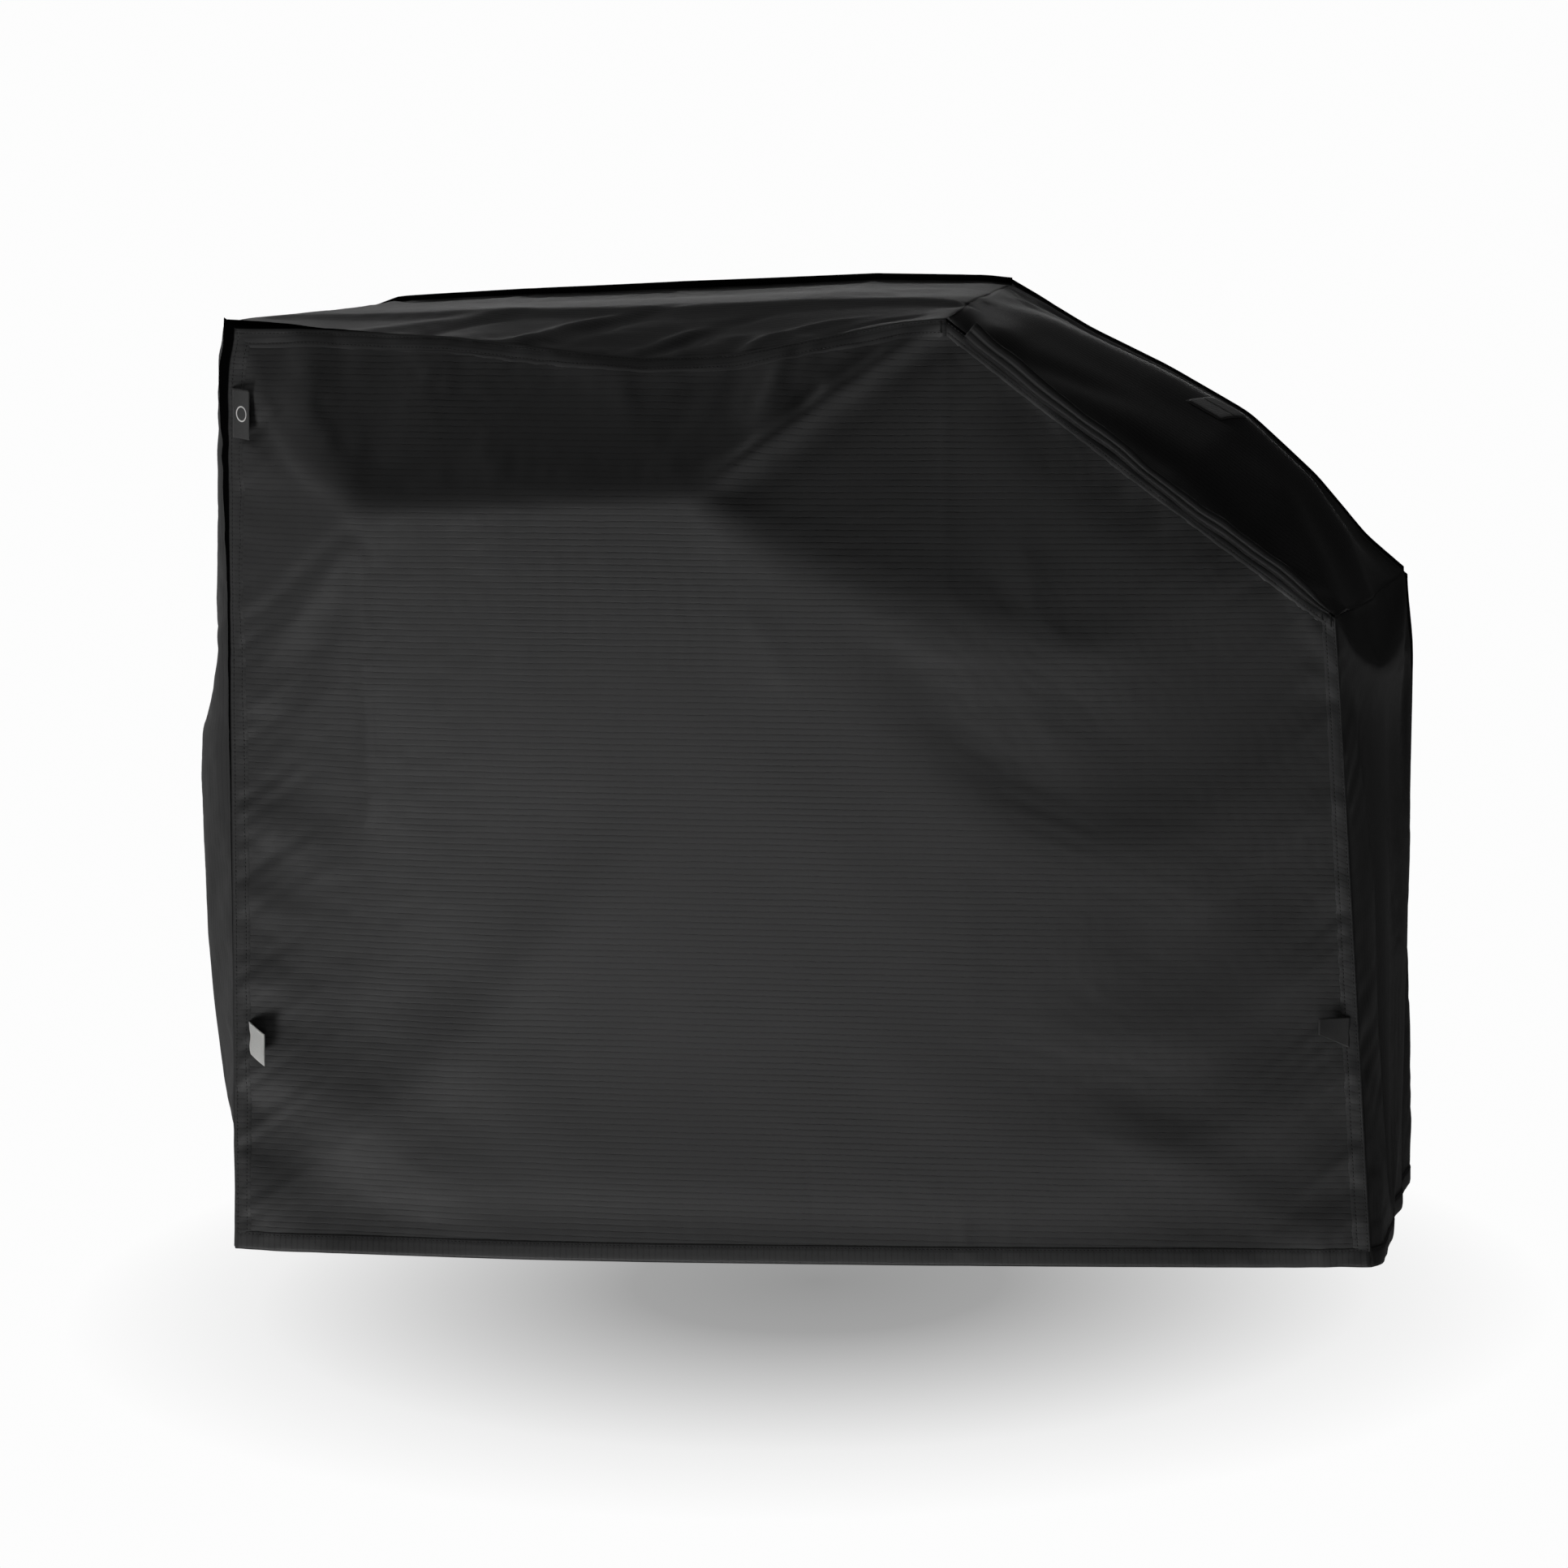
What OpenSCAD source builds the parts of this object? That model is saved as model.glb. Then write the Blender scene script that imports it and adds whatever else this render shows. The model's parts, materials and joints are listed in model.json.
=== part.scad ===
// Fitted fabric cover for a barbecue with a hood and one lower side shelf.
// The origin is the middle of the top panel's underside, where the hood carries the cover.
// +X is to the right seen from the front, +Y to the rear and +Z up. Millimetres.

/* [Cover size] */
// Height from the hem to the underside of the top panel
cover_h = 1110; // [1000:10:1200]
// Depth from the front seams to the rear seams
seam_depth = 600; // [520:10:680]
// Length of the level top, from the left corner to the peak
top_l = 850; // [700:10:950]
// How far the shoulder lies below the top
shoulder_drop = 342; // [300:2:400]
// How far the shoulder lies to the right of the peak, along the front seam
shoulder_run = 449; // [400:1:500]
// How far the hem's right corner lies to the right of the front shoulder
hem_flare = 50; // [20:5:80]

/* [Fullness] */
// How far the front stands out over the hood handle
front_bulge = 85; // [40:5:110]
// How far the left side stands out over the side handle
left_bulge = 75; // [20:5:100]
// How far the sloping panel is lifted off the straight line
slope_bulge = 86; // [30:2:100]
// How far the rear shoulder lies to the right of the front one
shoulder_bulge = 54; // [20:2:70]
// How far the right side swells past its front seam
right_bulge = 28; // [10:2:40]

/* [Cloth] */
// Thickness of one panel, cloth with its coating and slack
cloth_t = 2; // [1.5:0.1:3]
// Width of a felled seam band
seam_w = 18; // [12:1:24]
// Thickness of a felled seam band
seam_t = 1.5; // [1:0.1:2.5]
// Height of the folded hem
hem_h = 18; // [12:1:30]
// Thickness of the folded hem
hem_t = 4; // [3:0.5:6]
// Width of the stiff flat margin beside the front seams
margin_w = 24; // [20:1:40]
// Height of the stand-up fold on the slope seam
fold_h = 16; // [10:1:20]
// Bare length of the slope seam at its peak end
fold_gap = 36; // [10:2:60]

/* [Flaps and patch] */
// Woven label in the left front seam, width and height
label_size = [30, 58];
// Care label, width and height
care_size = [34, 38];
// Size tab, width and height
tab_size = [40, 36];
// Height of the woven label's middle below the top
label_drop = 120; // [80:5:200]
// Height of the care label's middle below the top
care_drop = 864; // [700:2:950]
// Height of the size tab's middle below the top
tab_drop = 824; // [700:2:950]
// Thickness of a label
label_t = 0.8; // [0.5:0.1:1.5]
// Patch on the sloping panel, along the slope and along the depth
patch_size = [44, 52];
// Width of one webbing strip on the patch
strip_w = 23; // [15:1:28]

/* [Hidden] */

front_y = -seam_depth / 2;
rear_y = seam_depth / 2;
front_face = front_y - cloth_t;
rear_face = rear_y + cloth_t;
hem_z = -cover_h;
panel_low = hem_z + hem_h;
left_x = -top_l / 2;
peak_x = top_l / 2;
shoulder_x = peak_x + shoulder_run;
hem_left_x = left_x - 7;
hem_right_x = shoulder_x + hem_flare;

// Clearance between a flap and the cloth beside it
flap_gap = 0.4;
thread_t = 1.2;
patch_t = 1.2;
strip_t = 2;

// The cover's cross sections from front to rear. Each row holds shares of one, for
// the depth, the left bulge, the slope's lift, the shoulder and the right side's swell.
STATIONS = [
    [0.00, 0.0, 0.00, 0.00, 0.0],
    [0.10, 0.5, 0.22, 0.35, 1.0],
    [0.30, 1.0, 0.62, 0.60, 0.9],
    [0.40, 1.0, 1.00, 0.78, 0.7],
    [0.75, 1.0, 1.00, 0.95, 0.5],
    [1.00, 0.0, 0.80, 1.00, 0.2]
];
LAST_STATION = len(STATIONS) - 1;

// Places of the corners in a section's list of points
HEM_LEFT = 0;
TOP_LEFT = 3;
PEAK = 4;
SHOULDER = 7;
HEM_RIGHT = 9;

slope_dir = [shoulder_run, -shoulder_drop] / norm([shoulder_run, shoulder_drop]);
slope_up = [-slope_dir.y, slope_dir.x];
slope_len = norm([shoulder_run, shoulder_drop]);

// A point of the slope at a share of its length, raised off the straight line
function slope_point(share, lift) =
    [peak_x, cloth_t] + slope_dir * slope_len * share + slope_up * lift;

// The outer line of one section, from the left hem over the top to the right hem
function section(row) = [
    [hem_left_x, panel_low],
    [hem_left_x - left_bulge * row[1], -0.72 * cover_h],
    [left_x - left_bulge * row[1], -0.46 * cover_h],
    [left_x, cloth_t],
    [peak_x, cloth_t],
    slope_point(0.36, slope_bulge * row[2] * 0.9),
    slope_point(0.68, slope_bulge * row[2]),
    [shoulder_x + shoulder_bulge * row[3], cloth_t - shoulder_drop],
    [shoulder_x + hem_flare / 2 + right_bulge * row[4], -0.62 * cover_h],
    [hem_right_x + right_bulge * row[4], panel_low]
];

function right_of(a, b) = let (d = (b - a) / norm(b - a)) [d.y, -d.x];
function mitre(n1, n2) = (n1 + n2) / (1 + n1 * n2);

// A line moved inwards by t, with its two ends kept at their height
function inset(line, t) = let (last = len(line) - 1) [
    for (i = [0:last])
        i == 0 ? line[0] + [t / right_of(line[0], line[1]).x, 0]
        : i == last ? line[last] + [t / right_of(line[last - 1], line[last]).x, 0]
        : line[i] + t * mitre(right_of(line[i - 1], line[i]), right_of(line[i], line[i + 1]))
];

function at_depth(line, y) = [for (p = line) [p.x, y, p.y]];
function part_of(line, first, last) = [for (i = [first:last]) line[i]];
function corners(line) = [for (i = [HEM_LEFT, TOP_LEFT, PEAK, SHOULDER, HEM_RIGHT]) line[i]];

// Triangles over a grid of points stored row by row
function grid_faces(rows, cols) = [
    for (r = [0:rows - 2], c = [0:cols - 2], half = [0, 1])
        let (a = r * cols + c, b = a + cols)
            half == 0 ? [a, a + 1, b + 1] : [a, b + 1, b]
];

// The grid's edge, once round
function grid_edge(rows, cols) = concat(
    [for (c = [0:cols - 2]) c],
    [for (r = [0:rows - 2]) r * cols + cols - 1],
    [for (c = [cols - 1:-1:1]) (rows - 1) * cols + c],
    [for (r = [rows - 1:-1:1]) r * cols]
);

// A thin closed solid between an outer and an inner surface with the same triangles
module sheet(outer, inner, faces, edge) {
    n = len(outer);
    last = len(edge) - 1;
    // Both panels at a seam split its wall along the same diagonal
    walls = [
        for (i = [0:last], half = [0, 1])
            let (a = edge[i], b = edge[i == last ? 0 : i + 1])
                half == 0 ? [b, a, a < b ? a + n : b + n] : [a < b ? b : a, a + n, b + n]
    ];
    inside = [for (f = faces) [f[2] + n, f[1] + n, f[0] + n]];
    polyhedron(points = concat(outer, inner), faces = concat(faces, inside, walls));
}

// The stretch of the boxing between two places of the section, lofted over every station
module strip_panel(first, last) {
    cols = last - first + 1;
    rows = len(STATIONS);
    outer = [
        for (row = STATIONS)
            for (p = at_depth(part_of(section(row), first, last), front_y + row[0] * seam_depth)) p
    ];
    inner = [
        for (row = STATIONS)
            for (p = at_depth(part_of(inset(section(row), cloth_t), first, last),
                              front_y + row[0] * seam_depth)) p
    ];
    sheet(outer, inner, grid_faces(rows, cols), grid_edge(rows, cols));
}

// A flat plate drawn in X and Z that fills the depth from y to y + t
module upright(points, y, t) {
    translate([0, y + t, 0])
        rotate([90, 0, 0])
            linear_extrude(t) polygon(points);
}

// The band between two corners of an outline, on its inner side
module seam_band(line, first, last, y) {
    inner = inset(line, seam_w);
    upright(concat(part_of(line, first, last), [for (i = [last:-1:first]) inner[i]]), y, seam_t);
}

FRONT_LINE = section(STATIONS[0]);
REAR_LINE = section(STATIONS[LAST_STATION]);

module front_panel() {
    ring = corners(FRONT_LINE);
    flat = inset(ring, margin_w);
    flat_low = [for (i = [0:4]) i == 0 || i == 4 ? flat[i] + [0, margin_w] : flat[i]];
    // The hood handle's two ends and the two points where its folds run out
    handle_l = [-256, -front_bulge, -226];
    handle_r = [140, -front_bulge, -208];
    low_l = [-240, -front_bulge * 0.35, -960];
    low_r = [180, -front_bulge * 0.35, -960];
    rim = [for (p = at_depth(concat(ring, flat_low), 0)) p];
    outer = [for (p = concat(rim, [handle_l, handle_r, low_r, low_l])) p + [0, front_face, 0]];
    inner = [for (p = outer) p + [0, cloth_t, 0]];
    around = [
        for (i = [0:4], half = [0, 1])
            let (j = (i + 1) % 5)
                half == 0 ? [i, i + 5, j + 5] : [i, j + 5, j]
    ];
    middle = [
        [6, 10, 11], [6, 11, 7],
        [5, 13, 10], [5, 10, 6],
        [10, 13, 12], [10, 12, 11],
        [5, 9, 12], [5, 12, 13],
        [7, 11, 8], [11, 12, 8], [12, 9, 8]
    ];
    color("#242424")
        sheet(outer, inner, [for (f = concat(around, middle)) [f[2], f[1], f[0]]], [for (i = [0:4]) i]);
}

module rear_panel() {
    color("#202020") upright(REAR_LINE, rear_y, cloth_t);
}

module left_side_panel() {
    color("#1c1c1c") strip_panel(HEM_LEFT, TOP_LEFT);
}

module top_panel() {
    color("#2a2a2a") strip_panel(TOP_LEFT, PEAK);
}

module slope_panel() {
    color("#1a1a1a") strip_panel(PEAK, SHOULDER);
}

module right_side_panel() {
    color("#161616") strip_panel(SHOULDER, HEM_RIGHT);
}

module front_left_seam() {
    color("#303030") seam_band(FRONT_LINE, HEM_LEFT, TOP_LEFT, front_face - seam_t);
}

module front_top_seam() {
    color("#303030") seam_band(FRONT_LINE, TOP_LEFT, PEAK, front_face - seam_t);
}

module front_slope_seam() {
    color("#303030") seam_band(FRONT_LINE, PEAK, SHOULDER, front_face - seam_t);
}

// The folded allowance that stands up along the slope's front edge
module front_slope_fold() {
    start = slope_point(0, 0) + slope_dir * fold_gap;
    end = slope_point(1, 0) - slope_dir * seam_w / 2;
    color("#343434")
        upright([start, end, end + slope_up * fold_h, start + slope_up * fold_h],
                front_face - seam_t, cloth_t + seam_t);
}

module front_right_seam() {
    color("#303030") seam_band(FRONT_LINE, SHOULDER, HEM_RIGHT, front_face - seam_t);
}

module rear_left_seam() {
    color("#2c2c2c") seam_band(REAR_LINE, HEM_LEFT, TOP_LEFT, rear_face);
}

module rear_top_seam() {
    color("#2c2c2c") seam_band(REAR_LINE, TOP_LEFT, PEAK, rear_face);
}

module rear_slope_seam() {
    color("#2c2c2c") seam_band(REAR_LINE, PEAK, SHOULDER, rear_face);
}

module rear_right_seam() {
    color("#2c2c2c") seam_band(REAR_LINE, SHOULDER, HEM_RIGHT, rear_face);
}

// The hem's outer line seen from above, from the front corner to the rear one
function hem_line(place) = [
    for (row = STATIONS) [section(row)[place].x, front_y + row[0] * seam_depth]
];

module hem_strip(outline) {
    translate([0, 0, hem_z]) linear_extrude(hem_h) polygon(outline);
}

module hem_side(place, inwards) {
    line = hem_line(place);
    hem_strip(concat(line, [for (i = [LAST_STATION:-1:0]) line[i] + [inwards * hem_t, 0]]));
}

module hem_end(place_y, away) {
    hem_strip([
        [hem_left_x, place_y], [hem_right_x, place_y],
        [hem_right_x, place_y + away * hem_t], [hem_left_x, place_y + away * hem_t]
    ]);
}

module hem_front() {
    color("#383838") hem_end(front_y, -1);
}

module hem_rear() {
    color("#383838") hem_end(rear_y, 1);
}

module hem_left() {
    color("#383838") hem_side(HEM_LEFT, 1);
}

module hem_right() {
    color("#383838") hem_side(HEM_RIGHT, -1);
}

// Short bars of dense stitching at the peak and the shoulder, front and rear
module corner_bartacks() {
    bar = [2.5, thread_t, 13];
    reach = seam_w * 0.75;
    color("#0c0c0c")
        for (side = [[FRONT_LINE, front_face - seam_t - thread_t], [REAR_LINE, rear_face + seam_t]])
            for (place = [PEAK, SHOULDER], step = [0, 5])
                translate([side[0][place].x - reach - step, side[1], side[0][place].y - reach - bar.z])
                    cube(bar);
}

// Puts its children on the slope where it is fullest: X down the slope, Y to the rear
module on_slope() {
    row = STATIONS[3];
    upper = section(row)[PEAK + 1];
    lower = section(row)[PEAK + 2];
    run = (lower - upper) / norm(lower - upper);
    middle = (upper + lower) / 2;
    y = front_y + STATIONS[3][0] * seam_depth + patch_size.y / 2 + 2;
    translate([middle.x, y, middle.y])
        rotate([0, -atan2(run.y, run.x), 0]) children();
}

module patch_base() {
    color("#0e0e0e")
        on_slope()
            translate([-patch_size.x / 2, -patch_size.y / 2, 0]) cube([patch_size.x, patch_size.y, patch_t]);
}

// Two webbing strips sewn side by side on the patch
module patch_webbing() {
    inset_w = (patch_size.y - 2 * strip_w) / 4;
    color("#181818")
        on_slope()
            for (side = [-1, 1])
                translate([0, side * (strip_w / 2 + inset_w), patch_t + strip_t / 2])
                    cube([patch_size.x - 4, strip_w, strip_t], center = true);
}

// The x at which a line's stretch from one place to the next passes a height
function x_on(line, first, z) =
    let (a = line[first], b = line[first + 1]) a.x + (b.x - a.x) * (z - a.y) / (b.y - a.y);

// A flap hinged on a vertical line, in front of the panel or of the seam band on it.
// Its own X runs along the flap.
module flap(x, z, size, angle, behind) {
    translate([x, front_face - behind - flap_gap - label_t, z - size.y / 2])
        rotate([0, 0, angle]) children();
}

// How far each flap stands off the plane of the front seams
label_angle = -15;
care_angle = -46;
tab_angle = 14;

label_hinge_x = x_on(FRONT_LINE, HEM_LEFT + 2, -label_drop) + 3.5;
care_hinge_x = x_on(inset(FRONT_LINE, seam_w), HEM_LEFT, -care_drop) + 2;
tab_hinge_x = x_on(FRONT_LINE, HEM_RIGHT - 1, -tab_drop) - 11;

module logo_label() {
    color("#101010")
        flap(label_hinge_x, -label_drop, label_size, label_angle, seam_t)
            translate([0, -label_t / 2, 0]) cube([label_size.x, label_t, label_size.y]);
}

module care_label() {
    color("#e8e8e4")
        flap(care_hinge_x, -care_drop, care_size, care_angle, 0)
            translate([0, -label_t / 2, 0]) cube([care_size.x, label_t, care_size.y]);
}

// A tab of the cover's own cloth with one corner folded over
module size_tab() {
    fold = tab_size.x * 0.6;
    color("#262626")
        flap(tab_hinge_x, -tab_drop, tab_size, tab_angle, seam_t) {
            translate([-tab_size.x, -label_t / 2, 0]) cube([tab_size.x, label_t, tab_size.y]);
            translate([0, -label_t / 2, 0])
                rotate([90, 0, 0])
                    linear_extrude(label_t)
                        polygon([[-tab_size.x, 0], [-tab_size.x + fold, 0], [-tab_size.x, tab_size.y]]);
        }
}

front_panel();
rear_panel();
left_side_panel();
top_panel();
slope_panel();
right_side_panel();
front_left_seam();
front_top_seam();
front_slope_seam();
front_slope_fold();
front_right_seam();
rear_left_seam();
rear_top_seam();
rear_slope_seam();
rear_right_seam();
hem_front();
hem_rear();
hem_left();
hem_right();
corner_bartacks();
patch_base();
patch_webbing();
logo_label();
care_label();
size_tab();
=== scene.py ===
"""Looks of a fitted cloth cover for a grill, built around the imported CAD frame.

The cover is worked out as grids of points: one for the boxing strip that runs over the grill,
and one each for the front and the rear panel. The grids are sewn together, relaxed as cloth,
and cut into the six panels. Seams, hems, stitches, labels and the patch follow those surfaces.
"""

import json
import math

import bmesh
import bpy
import numpy as np
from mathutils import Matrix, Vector
from mathutils.bvhtree import BVHTree
from mathutils.geometry import delaunay_2d_cdt


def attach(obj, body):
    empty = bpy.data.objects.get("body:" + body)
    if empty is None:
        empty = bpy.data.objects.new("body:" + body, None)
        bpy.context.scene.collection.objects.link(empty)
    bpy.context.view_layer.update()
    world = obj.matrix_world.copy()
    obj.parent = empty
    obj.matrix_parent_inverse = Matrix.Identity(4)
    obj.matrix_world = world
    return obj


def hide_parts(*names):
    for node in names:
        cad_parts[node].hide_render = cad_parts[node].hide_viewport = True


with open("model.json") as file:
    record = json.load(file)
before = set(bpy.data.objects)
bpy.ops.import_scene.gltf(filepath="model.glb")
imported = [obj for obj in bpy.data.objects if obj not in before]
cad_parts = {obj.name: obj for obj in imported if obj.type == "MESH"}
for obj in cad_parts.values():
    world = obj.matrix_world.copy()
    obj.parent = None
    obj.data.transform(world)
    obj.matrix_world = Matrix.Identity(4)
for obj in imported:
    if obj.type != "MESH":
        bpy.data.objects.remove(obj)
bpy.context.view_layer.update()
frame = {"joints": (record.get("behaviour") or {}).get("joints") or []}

MM = 0.001
COVER = "cover"

# Corners of the front panel, x and z in metres, as the cover sits on the grill
HEM_LEFT = (-0.433, -1.121)
TOP_LEFT = (-0.418, -0.022)
PEAK = (0.424, -0.004)
SHOULDER = (0.874, -0.342)
HEM_RIGHT = (0.924, -1.097)
FRONT_Y = -0.3015
REAR_Y = 0.3005

# Grid cell of the simulated cloth, and how many times finer the shown cloth is
CELL = 0.0125
FINER = 2
N_SIDE = round(1.11 / CELL)
N_TOP = round(0.85 / CELL)
N_SLOPE = round(0.5645 / CELL)
N_DEPTH = round(0.60 / CELL)

CLOTH_T = 0.8 * MM
SEAM_W = 18 * MM
RIB_PITCH = 7.2 * MM


# ---------------------------------------------------------------- small helpers

def lerp(a, b, t):
    return a + (b - a) * t


def smooth(t):
    t = np.clip(t, 0, 1)
    return t * t * (3 - 2 * t)


def bell(x, middle, width):
    return np.exp(-((x - middle) / width) ** 2)


def waves(x, seed, lengths, skew=0.0):
    """A smooth irregular wave of about unit height along x, the same each run."""
    rng = np.random.default_rng(seed)
    total = np.zeros_like(x)
    for length in lengths:
        for _ in range(3):
            k = 2 * math.pi / (length * rng.uniform(0.75, 1.3))
            total = total + np.sin(k * x + rng.uniform(0, 2 * math.pi) + skew)
    return total / math.sqrt(1.5 * len(lengths) * 3)


def unit(v):
    return v / np.maximum(np.linalg.norm(v, axis=-1, keepdims=True), 1e-12)


def normals(grid, side=1):
    return side * unit(np.cross(np.gradient(grid, axis=0), np.gradient(grid, axis=1)))


def run_of(line):
    """How far along a line of points each point lies, from 0 at the first."""
    return np.concatenate([[0], np.cumsum(np.linalg.norm(np.diff(line, axis=0), axis=1))])


def refine(grid, axis, factor=FINER):
    """A grid with factor times as many cells along one axis, on a smooth curve."""
    p = np.moveaxis(grid, axis, 0)
    ext = np.concatenate([[2 * p[0] - p[1]], p, [2 * p[-1] - p[-2]]])
    t = np.arange((len(p) - 1) * factor + 1) / factor
    i = np.minimum(t.astype(int), len(p) - 2)
    f = (t - i).reshape((-1,) + (1,) * (p.ndim - 1))
    a, b, c, d = ext[i], ext[i + 1], ext[i + 2], ext[i + 3]
    squared, cubed = 2 * a - 5 * b + 4 * c - d, 3 * b - a - 3 * c + d
    out = 0.5 * (2 * b + (c - a) * f + squared * f ** 2 + cubed * f ** 3)
    return np.moveaxis(out, 0, axis)


def resample(points, count):
    """count points evenly spaced along a line of points, rounded a little at its corners."""
    points = np.array(points, float)
    at = run_of(points)
    fine = np.linspace(0, at[-1], 400)
    dense = np.stack([np.interp(fine, at, points[:, k]) for k in range(points.shape[1])], axis=1)
    for _ in range(60):
        dense[1:-1] = (dense[:-2] + 2 * dense[1:-1] + dense[2:]) / 4
    pick = np.linspace(0, 399, count)
    return np.stack([np.interp(pick, np.arange(400), dense[:, k]) for k in range(points.shape[1])], axis=1)


def to_line(x, z, line):
    """Distance from points to a line of (x, z) points, and how far along it they are, 0 to 1."""
    line = np.array(line, float)
    at = run_of(line)
    at = at / at[-1]
    best = np.full(x.shape, 1e9)
    along = np.zeros(x.shape)
    side = np.zeros(x.shape)
    for k in range(len(line) - 1):
        dx, dz = line[k + 1] - line[k]
        t = np.clip(((x - line[k, 0]) * dx + (z - line[k, 1]) * dz) / (dx * dx + dz * dz), 0, 1)
        ex, ez = x - (line[k, 0] + t * dx), z - (line[k, 1] + t * dz)
        d = np.hypot(ex, ez)
        closer = d < best
        best = np.where(closer, d, best)
        along = np.where(closer, lerp(at[k], at[k + 1], t), along)
        side = np.where(closer, np.sign(dx * ez - dz * ex), side)
    return best, along, side


# ---------------------------------------------------------------- the shape on the grill

# How the front seam of the top sags between the corner and the peak: x and z in mm
TOP_SEAM = [(-418, -22), (-380, -23), (-300, -25), (-162, -30), (0, -48), (76, -54), (180, -49),
            (290, -27), (370, -10), (424, -4)]
# The rear edge of the top, then of the slope, down to the rear shoulder
TOP_REAR = [(-408, -12), (-354, -5), (-200, 3), (-77, 8), (100, 16), (258, 24), (400, 23), (432, 20)]
SLOPE_REAR = [(432, 20), (470, 0), (532, -37), (630, -84), (733, -142), (820, -222), (882, -296),
              (930, -336)]
# The slope where the hood's end lifts it most, over the middle of the depth
SLOPE_CREST = [(429, 13), (470, 8), (514, -5), (560, -26), (654, -69), (752, -122), (833, -198),
               (880, -266), (908, -338)]
# How far the left side stands out at each height: z and distance in mm
SIDE_SWELL = [(-1121, 2), (-1060, 20), (-950, 44), (-850, 58), (-750, 66), (-560, 66), (-505, 61),
              (-482, 46), (-440, 36), (-300, 20), (-100, 5), (-22, 0)]


# Over the depth, as (share, value): how the top and slope rise from the front seam to their crest,
# and how far the strip rolls out over the top left corner
LEVEL_RISE = [(0, 0), (0.03, 0.14), (0.1, 0.42), (0.2, 0.72), (0.34, 0.92), (0.5, 1), (1, 1)]
SLOPE_RISE = [(0, 0), (0.05, 0.10), (0.12, 0.27), (0.24, 0.52), (0.36, 0.72), (0.43, 0.89), (0.48, 0.98),
              (0.52, 1), (1, 1)]
CORNER_ROLL = [(0, 0), (0.03, 0.85), (0.06, 1), (0.4, 0.8), (1, 0)]
LEFT_FULLNESS = [(0, 0), (0.05, 0.22), (0.12, 0.62), (0.24, 0.97), (0.5, 1), (0.7, 0.9), (0.9, 0.3), (1, 0)]
RIGHT_FLARE = [(0, 0), (0.07, 0.55), (0.14, 1), (0.24, 0.62), (0.4, 0.5), (0.6, 0.62), (0.8, 0.3), (1, 0)]


def over_depth(t, rows):
    """A value at depth share t, smoothly between rows of (share, value)."""
    at, value = zip(*rows)
    dense = np.interp(np.linspace(0, 1, 201), at, value)
    for _ in range(30):
        dense[1:-1] = (dense[:-2] + 2 * dense[1:-1] + dense[2:]) / 4
    return np.interp(t, np.linspace(0, 1, 201), dense)


def top_part(t):
    """The level top: an array over length and depth."""
    front = np.array(TOP_SEAM, float) * MM
    q = np.linspace(0, 1, N_TOP + 1)[:, None]
    x_front = lerp(TOP_LEFT[0], PEAK[0], q)
    z_front = np.interp(x_front, front[:, 0], front[:, 1])
    rear = np.array(TOP_REAR, float) * MM
    z_rear = np.interp(lerp(-0.408, 0.432, q), rear[:, 0], rear[:, 1])
    z_crest = z_rear - lerp(0.004, 0.007, q)
    up = over_depth(t, LEVEL_RISE)
    back = smooth((t - 0.5) / 0.5)
    z = lerp(lerp(z_front, z_crest, up), z_rear, back)
    x = lerp(lerp(x_front, lerp(-0.416, 0.429, q), up), lerp(-0.408, 0.432, q), back)
    # The strip rolls out over the corner before it turns down the left side
    roll = over_depth(t, CORNER_ROLL) * smooth((0.12 - q) / 0.12)
    x, z = x - 0.013 * roll, z + 0.005 * roll
    # The cloth dips a little between the hood's top and the rear seam
    z = z - 0.005 * bell(t, 0.76, 0.14) * np.sin(math.pi * q)
    return x, z


def slope_part(t):
    """The slope down to the shoulder, lifted over the hood's end in the middle of the depth."""
    q = np.linspace(0, 1, N_SLOPE + 1)[:, None]
    fx = lerp(PEAK[0], SHOULDER[0], q) - 0.002 * np.sin(math.pi * q)
    fz = lerp(PEAK[1], SHOULDER[1], q) - 0.003 * np.sin(math.pi * q)
    rear = resample(np.array(SLOPE_REAR, float) * MM, N_SLOPE + 1)
    crest = resample(np.array(SLOPE_CREST, float) * MM, N_SLOPE + 1)
    up = over_depth(t, SLOPE_RISE)
    up = lerp(up, over_depth(t, LEVEL_RISE), smooth((0.16 - q) / 0.16))
    back = smooth((t - 0.5) / 0.5)
    x = lerp(lerp(fx, crest[:, :1], up), rear[:, :1], back)
    z = lerp(lerp(fz, crest[:, 1:], up), rear[:, 1:], back)
    return x, z


def left_part(t, x_top, z_top):
    """The left side, from the hem up to the top."""
    w = np.linspace(0, 1, N_SIDE + 1)[:, None]
    z = lerp(lerp(HEM_LEFT[1], -1.108, t), z_top, w)
    roll = over_depth(t, CORNER_ROLL)
    edge = -0.006 * (1 - smooth((w - 0.955) / 0.045)) * (1 - t)
    edge = edge - 0.013 * roll * (1 - 0.6 * smooth((0.6 - w) / 0.4))
    x = lerp(lerp(HEM_LEFT[0] + 0.008, -0.428, t), x_top, w) + edge
    swell = np.array(SIDE_SWELL, float) * MM
    out = np.interp(z, swell[:, 0], swell[:, 1])
    return x - out * over_depth(t, LEFT_FULLNESS), z


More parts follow.
